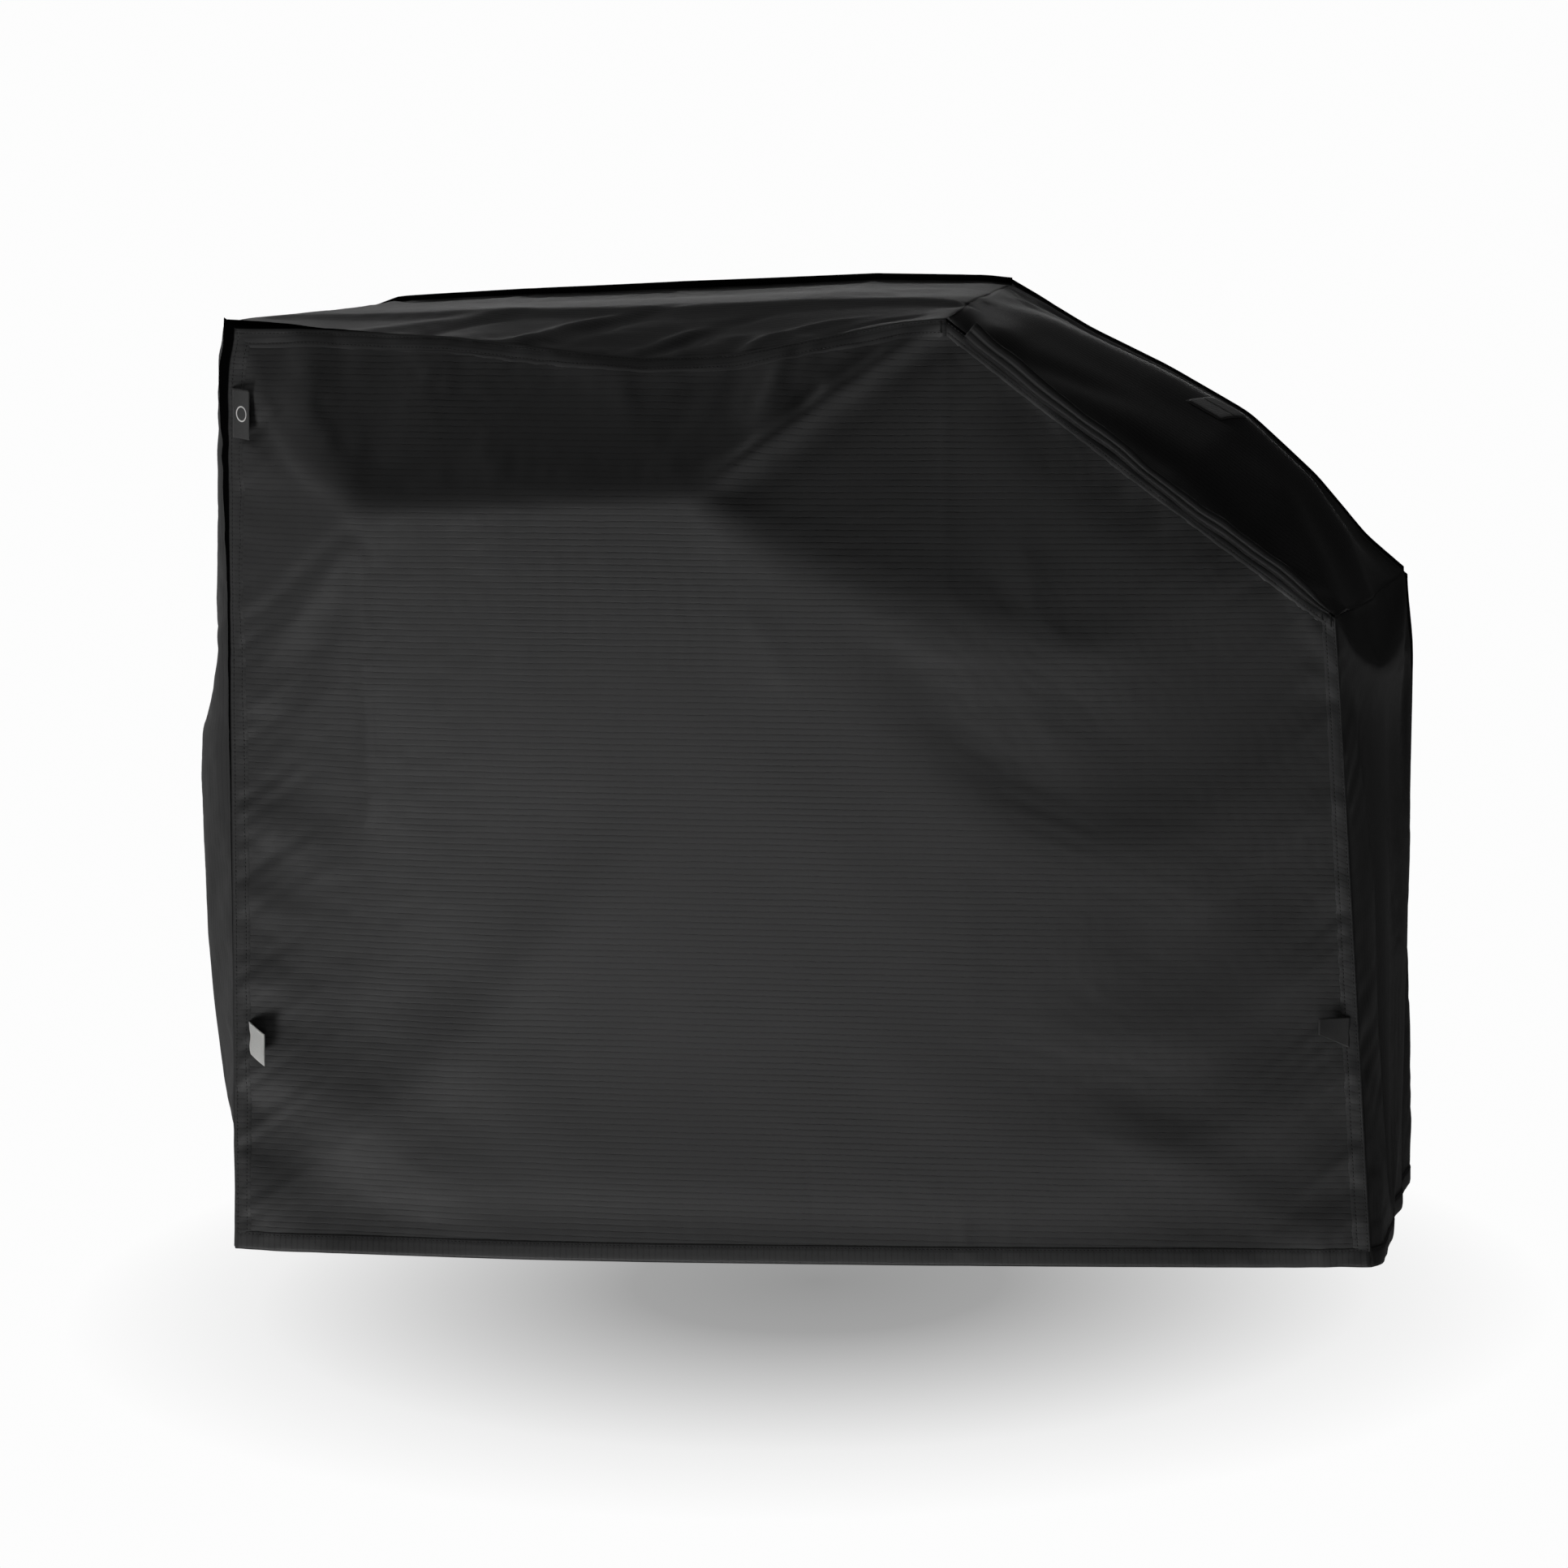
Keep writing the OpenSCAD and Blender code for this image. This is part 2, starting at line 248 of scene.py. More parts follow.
def right_part(t, x_top, z_top):
    """The right side, from the shoulder down to the hem."""
    w = np.linspace(0, 1, N_SIDE + 1)[:, None]
    z = lerp(z_top, lerp(HEM_RIGHT[1], -1.104, t), w)
    reach = lerp(w, smooth(w / 0.14), smooth(t))
    x = lerp(x_top, lerp(HEM_RIGHT[0], 0.938, t), reach)
    x = x + 0.026 * over_depth(t, RIGHT_FLARE) * smooth(w / 0.45)
    folds = np.sin(2 * math.pi * (3.1 * t + 0.25 * w)) * smooth(t / 0.12) * smooth((1 - t) / 0.12)
    return x + 0.0055 * folds * smooth(w / 0.5), z


def strip_grid():
    """The boxing strip: points over its length, from the left hem to the right one, and its depth."""
    t = np.linspace(0, 1, N_DEPTH + 1)[None, :]
    top_x, top_z = top_part(t)
    slope_x, slope_z = slope_part(t)
    left_x, left_z = left_part(t, top_x[0], top_z[0])
    right_x, right_z = right_part(t, slope_x[-1], slope_z[-1])
    x = np.concatenate([left_x, top_x[1:], slope_x[1:], right_x[1:]])
    z = np.concatenate([left_z, top_z[1:], slope_z[1:], right_z[1:]])
    y = np.broadcast_to(lerp(FRONT_Y, REAR_Y, t), x.shape)
    return np.stack([x, y, z], axis=-1)


# Points that the front is drawn over, in mm: x, z and how far it stands forward there
FRONT_POINTS = {
    "tl": (-418, -22, 0), "pk": (424, -4, 0), "sh": (874, -342, 0),
    "hr": (924, -1097, 0), "hl": (-433, -1121, 0),
    "t1": (-300, -25, 1), "t2": (-162, -30, 2), "t3": (0, -48, 4), "t4": (76, -54, 5), "t5": (180, -49, 4),
    "t6": (290, -27, 2),
    "handle_l": (-256, -228, 84), "handle_r": (138, -209, 84),
    "l1": (-432, -398, 0), "l2": (-352, -318, 41),
    "v1": (-252, -420, 64), "v2": (-250, -640, 38), "v3": (-312, -850, 12),
    "d1": (-235, -960, 18), "d2": (-70, -790, 31), "d3": (90, -570, 52),
    "c1": (213, -368, 68), "c2": (269, -515, 54), "c3": (330, -678, 40), "c4": (431, -820, 29),
    "c5": (640, -985, 15),
    "s1": (400, -72, 18), "s2": (540, -190, 30), "s3": (680, -290, 28), "s4": (796, -316, 11),
    "r1": (470, -330, 60), "r2": (640, -640, 34), "e1": (90, -900, 24),
    "m1": (-150, -1119, 16), "m2": (75, -1112, 21), "m3": (420, -1106, 16),
}
FRONT_CREASES = [
    ["tl", "handle_l", "handle_r", "pk"],
    ["handle_l", "l2", "l1"],
    ["handle_l", "v1", "v2", "v3", "hl"],
    ["hl", "d1", "d2", "d3"],
    ["handle_r", "c1", "c2", "c3", "c4", "c5"],
    ["handle_r", "r1", "sh"],
    ["pk", "s1", "s2", "s3", "s4", "sh"],
    ["tl", "t1", "t2", "t3", "t4", "t5", "t6", "pk", "sh", "hr", "m3", "m2", "m1", "hl", "l1", "tl"],
]
# Where the hood's handle bar pushes the front out, x and z in metres
HANDLE_BAR = [(-0.256, -0.228), (0.138, -0.209)]


def front_tent():
    """The taut front as flat facets between its creases, to be sampled."""
    names = list(FRONT_POINTS)
    flat = [Vector((FRONT_POINTS[n][0] * MM, FRONT_POINTS[n][1] * MM)) for n in names]
    edges = [(names.index(a), names.index(b)) for line in FRONT_CREASES for a, b in zip(line, line[1:])]
    points, _, faces, origin, _, _ = delaunay_2d_cdt(flat, edges, [], 0, 1e-6)
    heights = [FRONT_POINTS[names[o[0]]][2] * MM for o in origin]
    return BVHTree.FromPolygons([(p.x, h, p.y) for p, h in zip(points, heights)], faces)


def blurred(h, times):
    """The heights smoothed a number of times, with the border left as it is."""
    h = h.copy()
    for _ in range(times):
        p = np.pad(h, 1, mode="edge")
        around = p[:-2, 1:-1] + p[2:, 1:-1] + p[1:-1, :-2] + p[1:-1, 2:] + 4 * p[1:-1, 1:-1]
        h[1:-1, 1:-1] = around[1:-1, 1:-1] / 8
    return h


def forward(x, z):
    """How far the front stands forward at each point of its grid."""
    tent = front_tent()
    h = np.zeros(x.shape)
    for c in range(x.shape[0]):
        for r in range(x.shape[1]):
            hit = tent.ray_cast(Vector((x[c, r], 1.0, z[c, r])), Vector((0, -1, 0)))
            h[c, r] = hit[0].y if hit[0] is not None else 0.0
    near_bar, _, _ = to_line(x, z, HANDLE_BAR)
    near_ridge, _, _ = to_line(x, z, [HANDLE_BAR[1], PEAK])
    crisp = np.maximum(bell(near_bar, 0, 0.05), 0.7 * bell(near_ridge, 0, 0.035))
    return lerp(blurred(h, 14), blurred(h, 2), crisp)


def grid_quads(table):
    return np.stack([table[:-1, :-1], table[1:, :-1], table[1:, 1:], table[:-1, 1:]], axis=-1).reshape(-1, 4)


def panel_grid(line):
    """A panel inside a closed boundary: line runs from the left hem over the top to the right hem."""
    cols = N_TOP + N_SLOPE
    top = line[N_SIDE:N_SIDE + cols + 1]
    share = (top[:, 0] - top[0, 0]) / (top[-1, 0] - top[0, 0])
    low = lerp(line[0], line[-1], share[:, None])
    r = np.linspace(0, 1, N_SIDE + 1)[None, :, None]
    grid = lerp(low[:, None, :], top[:, None, :], r)
    grid[0] = line[:N_SIDE + 1]
    grid[-1] = line[::-1][:N_SIDE + 1]
    # The side seams' own curves fade into the panel
    for c in range(1, cols):
        left_off = line[:N_SIDE + 1] - lerp(line[0], line[N_SIDE], r[0])
        right_off = line[::-1][:N_SIDE + 1] - lerp(line[-1], line[N_SIDE + cols], r[0])
        grid[c] += left_off * math.exp(-c / 6) + right_off * math.exp(-(cols - c) / 6)
    return grid


def designed():
    """The three grids as they are before the cloth simulation."""
    strip = strip_grid()
    front, rear = panel_grid(strip[:, 0]), panel_grid(strip[:, -1])
    front[..., 1] = FRONT_Y - forward(front[..., 0], front[..., 2])
    front[0, :, 1] = front[-1, :, 1] = front[:, -1, 1] = FRONT_Y
    c = np.linspace(0, 1, rear.shape[0])[:, None]
    r = np.linspace(0, 1, rear.shape[1])[None, :]
    inside = np.sin(math.pi * c) ** 0.5 * np.sin(math.pi * np.minimum(r + 0.12, 1))
    rear[..., 1] += inside * (0.006 + 0.004 * waves(rear[..., 0] + 0.3 * rear[..., 2], 5, [0.5, 0.27]))
    return strip, front, rear


# ---------------------------------------------------------------- sewing and relaxing

def sewn(strip, front, rear):
    """One welded mesh of the three grids, with each grid's own table of vertex numbers."""
    rows, cols = N_SIDE, N_TOP + N_SLOPE
    strip_at = np.arange(strip.shape[0] * strip.shape[1]).reshape(strip.shape[:2])
    points = [strip.reshape(-1, 3)]
    tables = [strip_at]
    count = strip_at.size
    for grid, j in ((front, 0), (rear, -1)):
        table = np.full(grid.shape[:2], -1)
        table[0], table[-1] = strip_at[:rows + 1, j], strip_at[::-1, j][:rows + 1]
        table[:, -1] = strip_at[rows:rows + cols + 1, j]
        free = table < 0
        table[free] = count + np.arange(free.sum())
        count += free.sum()
        points.append(grid[free])
        tables.append(table)
    faces = []
    for table, flip in zip(tables, (False, False, True)):
        quads = grid_quads(table)
        faces += (quads[:, ::-1] if flip else quads).tolist()
    return np.concatenate(points), faces, tables


def relaxed(strip, front, rear):
    """The grids after a short cloth simulation, each point kept within reach of its place."""
    points, faces, tables = sewn(strip, front, rear)
    mesh = bpy.data.meshes.new("sewn")
    mesh.from_pydata(points.tolist(), [], faces)
    cloth = bpy.data.objects.new("sewn", mesh)
    bpy.context.scene.collection.objects.link(cloth)
    hold = cloth.vertex_groups.new(name="hold")
    seam = cloth.vertex_groups.new(name="seam")
    hold_at, seam_at = held_weights(strip, front, rear, tables, len(points))
    for group, weights in ((hold, hold_at), (seam, seam_at)):
        levels = np.round(weights * 20).astype(int)
        for level in range(1, 21):
            which = np.nonzero(levels == level)[0].tolist()
            if which:
                group.add(which, level / 20, "REPLACE")
    mod = cloth.modifiers.new("Cloth", "CLOTH")
    mod.point_cache.frame_start, mod.point_cache.frame_end = 1, 60
    s = mod.settings
    s.quality, s.mass, s.air_damping = 5, 0.02, 1.5
    s.tension_stiffness = s.compression_stiffness = 40
    s.shear_stiffness, s.bending_stiffness = 20, 5
    s.tension_damping = s.compression_damping = s.shear_damping = 8
    s.bending_damping = 0.8
    s.vertex_group_mass, s.pin_stiffness = "hold", 1.0
    s.vertex_group_shrink = "seam"
    s.shrink_min, s.shrink_max = -0.001, 0.010
    mod.collision_settings.use_collision = False
    scene = bpy.context.scene
    scene.frame_start, scene.frame_end = 1, 60
    for step in range(1, 31):
        scene.frame_set(step)
    graph = bpy.context.evaluated_depsgraph_get()
    result = cloth.evaluated_get(graph).to_mesh()
    moved = np.zeros(len(points) * 3)
    result.vertices.foreach_get("co", moved)
    moved = moved.reshape(-1, 3)
    bpy.data.objects.remove(cloth)
    scene.frame_set(1)
    offset = moved - points
    far = np.linalg.norm(offset, axis=1, keepdims=True)
    reach = 9 * MM
    offset *= reach * np.tanh(far / reach) / np.maximum(far, 1e-9)
    print(f"relaxed: mean move {far.mean() * 1000:.2f} mm, most {far.max() * 1000:.1f} mm")
    points = points + offset
    return [points[table] for table in tables]


def held_weights(strip, front, rear, tables, count):
    """Where the grill holds the cloth, and where the seams draw it in."""
    hold, seam = np.full(count, 0.05), np.zeros(count)
    strip_at, front_at, rear_at = tables
    x, z = front[..., 0], front[..., 2]
    bar, _, _ = to_line(x, z, HANDLE_BAR)
    hold[front_at] = np.maximum(hold[front_at], bell(bar, 0, 0.02))
    t = np.linspace(0, 1, strip.shape[1])[None, :]
    k = np.arange(strip.shape[0])[:, None]
    on_top = (k >= N_SIDE) & (k <= N_SIDE + N_TOP) & (t > 0.3) & (t < 0.9)
    hold[strip_at] = np.where(on_top, 0.4, hold[strip_at])
    for j in (0, -1):
        hold[strip_at[:, j]] = 0.6
        seam[strip_at[:, j]] = 1.0
    return hold, seam


# ---------------------------------------------------------------- fine detail of the cloth

# Creases of the front in mm: line of (x, z), width, height
CREASES = [
    ([(424, -6), (340, -62), (250, -128), (138, -209)], 11, 6.0),
    ([(424, -14), (352, -86), (268, -152), (170, -222)], 20, -3.0),
    ([(147, -53), (128, -98), (96, -160)], 11, -1.2),
    ([(254, -36), (244, -74), (270, -112)], 10, -1.4),
    ([(300, -30), (276, -66), (300, -96)], 9, 1.2),
    ([(205, -340), (236, -392), (252, -440)], 13, 1.1),
    ([(-256, -240), (-340, -318), (-430, -396)], 14, -2.6),
    ([(-262, -262), (-350, -372), (-430, -470)], 16, 1.8),
    ([(-270, -330), (-360, -470), (-431, -560)], 20, -1.6),
    ([(-414, -36), (-388, -100), (-332, -172), (-262, -230)], 17, 5.0),
    ([(-410, -60), (-384, -130), (-330, -210)], 13, -2.0),
    ([(-252, -250), (-250, -430), (-250, -640)], 10, 2.2),
    ([(452, -640), (459, -740), (462, -860)], 16, 0.7),
    ([(269, -975), (272, -1050), (274, -1109)], 7, -0.6),
    ([(385, -1010), (388, -1060), (389, -1106)], 8, -0.6),
    ([(-430, -1110), (-330, -1010), (-200, -900), (-60, -770), (90, -560)], 42, 3.4),
    ([(-428, -1095), (-352, -900), (-262, -660)], 34, -1.6),
    ([(912, -1088), (760, -1010), (560, -900)], 34, 3.2),
    ([(138, -214), (260, -300), (420, -372), (640, -430)], 30, 1.2),
    ([(870, -560), (800, -610), (690, -700)], 20, 2.4),
    ([(884, -700), (820, -780), (740, -900)], 22, -2.2),
    ([(-400, -1090), (-100, -1070), (200, -1068), (600, -1070), (880, -1060)], 34, -2.8),
]


def seam_puckers(d, s, seed, height, depth=0.055, skew=0.5):
    """Short ripples that run out from a seam: d is the distance from it and s the place along it."""
    ripple = waves(s + skew * d, seed, [0.028, 0.045, 0.08])
    near = np.exp(-d / depth) * (1 - np.exp(-np.maximum(d, 0) / 0.006))
    return height * ripple * near * (0.55 + 0.45 * waves(s, seed + 50, [0.24, 0.4]))


def detail_front(grid):
    """The front with its creases, the puckers along its seams and a slight unevenness."""
    x, z = grid[..., 0], grid[..., 2]
    push = np.zeros(x.shape)
    for line, width, height in CREASES:
        d, along, _ = to_line(x, z, np.array(line) * MM)
        ends = smooth(along / 0.12 + 0.25) * smooth((1 - along) / 0.3 + 0.1)
        push += height * MM * bell(d, 0, width * MM) * ends
    left, _, _ = to_line(x, z, [HEM_LEFT, TOP_LEFT])
    right, _, _ = to_line(x, z, [HEM_RIGHT, SHOULDER])
    slope, slope_s, _ = to_line(x, z, [PEAK, SHOULDER])
    top, top_s, _ = to_line(x, z, np.array(TOP_SEAM) * MM)
    push += seam_puckers(left, z, 11, 2.8 * MM, skew=-0.7)
    push += seam_puckers(right, z, 12, 3.2 * MM, 0.07, skew=0.8)
    push += seam_puckers(slope, slope_s * 0.56, 13, 1.6 * MM, 0.05)
    push += seam_puckers(top, top_s * 0.86, 14, 1.7 * MM, 0.05, skew=0.6)
    push += seam_puckers(np.maximum(z + 1.10, 0), x, 15, 0.9 * MM, 0.04, skew=0.1)
    push += 0.7 * MM * waves(x + 0.35 * z, 21, [0.31, 0.19]) * waves(z - 0.2 * x, 22, [0.36, 0.23])
    edge = np.minimum.reduce([left, right, slope, top])
    push *= 1 - np.exp(-edge / 0.007)
    return grid + normals(grid) * push[..., None]


# Creases of the top and slope in mm: line of (place along the strip from the left corner, depth),
# width, height
STRIP_CREASES = [
    ([(330, 0), (372, 90), (452, 190)], 13, 5.0),
    ([(362, 0), (420, 110), (510, 230)], 15, -4.0),
    ([(470, 6), (520, 70), (588, 120)], 12, 4.2),
    ([(500, 0), (556, 96), (640, 170)], 13, -3.6),
    ([(600, 4), (668, 60), (760, 96)], 12, 3.8),
    ([(690, 0), (760, 52), (835, 70)], 12, -3.2),
    ([(120, 20), (210, 120), (330, 230)], 22, 3.0),
    ([(200, 0), (262, 120), (330, 200)], 14, -2.6),
    ([(856, 20), (880, 160), (890, 330)], 20, -4.0),
    ([(880, 30), (990, 120), (1110, 190)], 30, -4.5),
    ([(1408, 24), (1356, 104), (1276, 186), (1150, 280)], 46, 10.0),
    ([(1396, 14), (1300, 50), (1160, 80), (980, 60)], 30, -7.0),
    ([(1240, 22), (1330, 46), (1385, 60)], 12, -3.0),
    ([(880, 420), (960, 500), (1010, 590)], 24, 4.0),
]


def detail_strip(grid, start, seed, sides):
    """Wrinkles on one part of the strip. start is its place along the strip, from the left corner."""
    s = start + run_of(grid[:, 0])[:, None] + np.zeros(grid.shape[:2])
    y = np.linspace(0, 0.6, grid.shape[1])[None, :] + np.zeros(grid.shape[:2])
    push = np.zeros(s.shape)
    for line, width, height in STRIP_CREASES if not sides else []:
        d, along, _ = to_line(s, y, np.array(line) * MM)
        push += height * MM * bell(d, 0, width * MM) * smooth(along / 0.15 + 0.3) * smooth((1 - along) / 0.4)
    push += seam_puckers(y, s, seed, 1.8 * MM, 0.05, skew=0.7)
    push += seam_puckers(0.6 - y, s, seed + 1, 1.8 * MM, 0.05, skew=-0.6)
    push += 0.9 * MM * waves(s + 0.3 * y, seed + 2, [0.3, 0.17]) * waves(y - 0.2 * s, seed + 3, [0.33, 0.2])
    edge = np.minimum(y, 0.6 - y)
    push *= 1 - np.exp(-edge / 0.007)
    return grid + normals(grid) * push[..., None]


def detail_rear(grid):
    """The rear with soft hanging folds and the puckers along its seams."""
    x, z = grid[..., 0], grid[..., 2]
    left, _, _ = to_line(x, z, [(-0.428, -1.108), (-0.410, -0.012)])
    right, _, _ = to_line(x, z, [(0.938, -1.104), (0.930, -0.336)])
    top, top_s, _ = to_line(x, z, np.array(TOP_REAR + SLOPE_REAR[1:]) * MM)
    push = seam_puckers(left, z, 31, 1.7 * MM, skew=-0.7) + seam_puckers(right, z, 32, 1.8 * MM, skew=0.7)
    push += seam_puckers(top, top_s * 1.45, 33, 1.8 * MM, 0.06, skew=0.5)
    push += 2.2 * MM * waves(x + 0.15 * z, 34, [0.42, 0.26]) * smooth((-z - 0.15) / 0.9)
    push += 1.0 * MM * waves(x + 0.4 * z, 35, [0.3, 0.18]) * waves(z, 36, [0.4, 0.22])
    push *= 1 - np.exp(-np.minimum.reduce([left, right, top]) / 0.007)
    return grid + normals(grid, -1) * push[..., None]


# ---------------------------------------------------------------- materials

def nodes_of(name):
    mat = bpy.data.materials.new(name)
    mat.use_nodes = True
    tree = mat.node_tree
    return mat, tree, tree.nodes["Principled BSDF"]


def add(tree, kind, **values):
    node = tree.nodes.new(kind)
    for key, value in values.items():
        setattr(node, key, value)
    return node


def math_node(tree, operation, a, b=None, clamp=False):
    node = add(tree, "ShaderNodeMath", operation=operation, use_clamp=clamp)
    for socket, value in zip(node.inputs, (a, b)):
        if value is None:
            continue
        if isinstance(value, (int, float)):
            socket.default_value = value
        else:
            tree.links.new(value, socket)
    return node.outputs[0]


def mix_colour(tree, factor, a, b):
    node = add(tree, "ShaderNodeMix", data_type="RGBA")
    tree.links.new(factor, node.inputs["Factor"])
    for socket, value in zip((node.inputs[6], node.inputs[7]), (a, b)):
        if isinstance(value, tuple):
            socket.default_value = (*value, 1)
        else:
            tree.links.new(value, socket)
    return node.outputs[2]


def noise_node(tree, vector, scale, detail=3, rough=0.55):
    node = add(tree, "ShaderNodeTexNoise")
    node.inputs["Scale"].default_value = scale
    node.inputs["Detail"].default_value = detail
    node.inputs["Roughness"].default_value = rough
    tree.links.new(vector, node.inputs["Vector"])
    return node.outputs["Fac"]


def cut_map(tree):
    """The "cut" map and its two coordinates: metres across and along the cloth."""
    cut = add(tree, "ShaderNodeUVMap", uv_map="cut")
    split = add(tree, "ShaderNodeSeparateXYZ")
    tree.links.new(cut.outputs["UV"], split.inputs[0])
    return cut.outputs["UV"], split.outputs[0], split.outputs[1]


def add_bump(tree, shader, height, strength, distance):
    bump = add(tree, "ShaderNodeBump")
    bump.inputs["Strength"].default_value = strength
    bump.inputs["Distance"].default_value = distance
    tree.links.new(height, bump.inputs["Height"])
    tree.links.new(bump.outputs[0], shader.inputs["Normal"])


def ribbed_cloth(name, dark, light, roughness, rib_depth=0.5, specular=0.35, bare_face_and_painted_shade=False):
    """Coated polyester with woven ribs. The ribs follow the flat pattern in the "cut" map."""
    mat, tree, shader = nodes_of(name)
    cut, across, along = cut_map(tree)
    place = add(tree, "ShaderNodeTexCoord").outputs["Object"]
    # Each rib wanders and fades a little along its length
    drift = noise_node(tree, place, 14, 2)
    phase = math_node(tree, "ADD", math_node(tree, "MULTIPLY", along, 1 / RIB_PITCH),
                      math_node(tree, "MULTIPLY", drift, 0.35))
    wave = math_node(tree, "SINE", math_node(tree, "MULTIPLY", phase, 2 * math.pi))
    groove = math_node(tree, "POWER", math_node(tree, "MULTIPLY_ADD", wave, 0.5), 5.0)
    groove.node.inputs[0].links[0].from_node.inputs[2].default_value = 0.5
    # Broken up where the weave's yarns cross it
    stretched = add(tree, "ShaderNodeMapping")
    stretched.inputs["Scale"].default_value = (150, 900, 150)
    tree.links.new(cut, stretched.inputs["Vector"])
    breaks = math_node(tree, "POWER", noise_node(tree, stretched.outputs[0], 1.0, 2), 2.0)
    patchy = noise_node(tree, place, 5.5, 3)
    broken = math_node(tree, "MULTIPLY", breaks, math_node(tree, "MULTIPLY", patchy, 6.5))
    groove = math_node(tree, "MULTIPLY", groove, broken)
    warp = math_node(tree, "SINE", math_node(tree, "MULTIPLY", across, 2 * math.pi / (1.3 * MM)))
    weft = math_node(tree, "SINE", math_node(tree, "MULTIPLY", along, 2 * math.pi / (1.2 * MM)))
    weave = math_node(tree, "MULTIPLY", warp, weft)
    grain = noise_node(tree, place, 900, 2, 0.7)
    tone = math_node(tree, "MULTIPLY_ADD", grain, 0.5)
    tone = math_node(tree, "ADD", tone, math_node(tree, "MULTIPLY", patchy, 0.5), clamp=True)
    colour = mix_colour(tree, tone, dark, light)
    # The grooves are coloured darker as well: painted shade in the ribs' hollows
    shade = math_node(tree, "MULTIPLY", groove, 0.45, clamp=True)
    colour = mix_colour(tree, shade, colour, tuple(c * 0.35 for c in dark))
    # Nearly black where the cut map runs below about -1 mm: on turned-out edges partly the cloth's bare inner
    # face and partly painted shade, under the slope fold a painted shadow
    if bare_face_and_painted_shade:
        turned = math_node(tree, "MULTIPLY_ADD", across, -500.0, clamp=True)
        turned.node.inputs[2].default_value = -0.5
        colour = mix_colour(tree, turned, colour, (0.0015, 0.0015, 0.0016))
        outside_painted_shade = math_node(tree, "SUBTRACT", 1.0, turned)
    tree.links.new(colour, shader.inputs["Base Color"])
    height = math_node(tree, "ADD", math_node(tree, "MULTIPLY", groove, -rib_depth),
                       math_node(tree, "MULTIPLY", weave, 0.08))
    height = math_node(tree, "ADD", height, math_node(tree, "MULTIPLY", grain, 0.25))
    add_bump(tree, shader, height, 0.55, 0.5 * MM)
    rough = math_node(tree, "MULTIPLY_ADD", patchy, 0.12)
    rough.node.inputs[2].default_value = roughness
    tree.links.new(rough, shader.inputs["Roughness"])
    shader.inputs["Specular IOR Level"].default_value = specular
    shader.inputs["Sheen Weight"].default_value = 0.12
    # The painted dark also takes away the specular and the sheen, as shade would
    if bare_face_and_painted_shade:
        tree.links.new(math_node(tree, "MULTIPLY", outside_painted_shade, specular), shader.inputs["Specular IOR Level"])
        tree.links.new(math_node(tree, "MULTIPLY", outside_painted_shade, 0.12), shader.inputs["Sheen Weight"])
    shader.inputs["Sheen Roughness"].default_value = 0.45
    return mat


def woven(name, dark, light, pitch, roughness=0.75, along_only=False, sheen=0.1):
    """Webbing, ribbon or plain cloth: a close weave drawn on the "cut" map."""
    mat, tree, shader = nodes_of(name)
    _, across, along = cut_map(tree)
    place = add(tree, "ShaderNodeTexCoord").outputs["Object"]
    k = 2 * math.pi / pitch
    a = math_node(tree, "SINE", math_node(tree, "MULTIPLY", across, k))
    b = math_node(tree, "SINE", math_node(tree, "MULTIPLY", along, k * (0.5 if along_only else 1)))
    weave = a if along_only else math_node(tree, "MULTIPLY", a, b)
    grain = noise_node(tree, place, 700, 2, 0.7)
    tone = math_node(tree, "MULTIPLY_ADD", weave, 0.2)
    tone = math_node(tree, "ADD", tone, math_node(tree, "MULTIPLY", grain, 0.9), clamp=True)
    tree.links.new(mix_colour(tree, tone, dark, light), shader.inputs["Base Color"])
    add_bump(tree, shader, math_node(tree, "ADD", weave, grain), 0.6, 0.3 * MM)
    rough = math_node(tree, "MULTIPLY_ADD", grain, 0.15)
    rough.node.inputs[2].default_value = roughness - 0.07
    tree.links.new(rough, shader.inputs["Roughness"])
    shader.inputs["Sheen Weight"].default_value = sheen
    return mat


def emblem_label():
    """A black damask label with a plain white ring and no lettering, drawn on its "cut" map."""
    mat = woven("woven_label_black", (0.006, 0.006, 0.006), (0.016, 0.016, 0.016), 0.9 * MM, 0.6)
    tree = mat.node_tree
    shader = tree.nodes["Principled BSDF"]
    _, across, along = cut_map(tree)
    u = math_node(tree, "SUBTRACT", across, 15 * MM)
    v = math_node(tree, "SUBTRACT", along, 29 * MM)
    squares = math_node(tree, "ADD", math_node(tree, "MULTIPLY", u, u), math_node(tree, "MULTIPLY", v, v))
    ring = math_node(tree, "COMPARE", math_node(tree, "SQRT", squares), 8.5 * MM)
    ring.node.inputs[2].default_value = 0.8 * MM
    ground = shader.inputs["Base Color"].links[0].from_socket
    tree.links.new(mix_colour(tree, ring, ground, (0.72, 0.72, 0.70)), shader.inputs["Base Color"])
    return mat


def thread():
    mat, tree, shader = nodes_of("thread_black")
    place = add(tree, "ShaderNodeTexCoord").outputs["Object"]
    grain = noise_node(tree, place, 1600, 2, 0.7)
    colour = mix_colour(tree, grain, (0.008, 0.008, 0.008), (0.030, 0.030, 0.030))
    tree.links.new(colour, shader.inputs["Base Color"])
    add_bump(tree, shader, grain, 0.5, 0.2 * MM)
    shader.inputs["Roughness"].default_value = 0.8
    shader.inputs["Specular IOR Level"].default_value = 0.2
    return mat


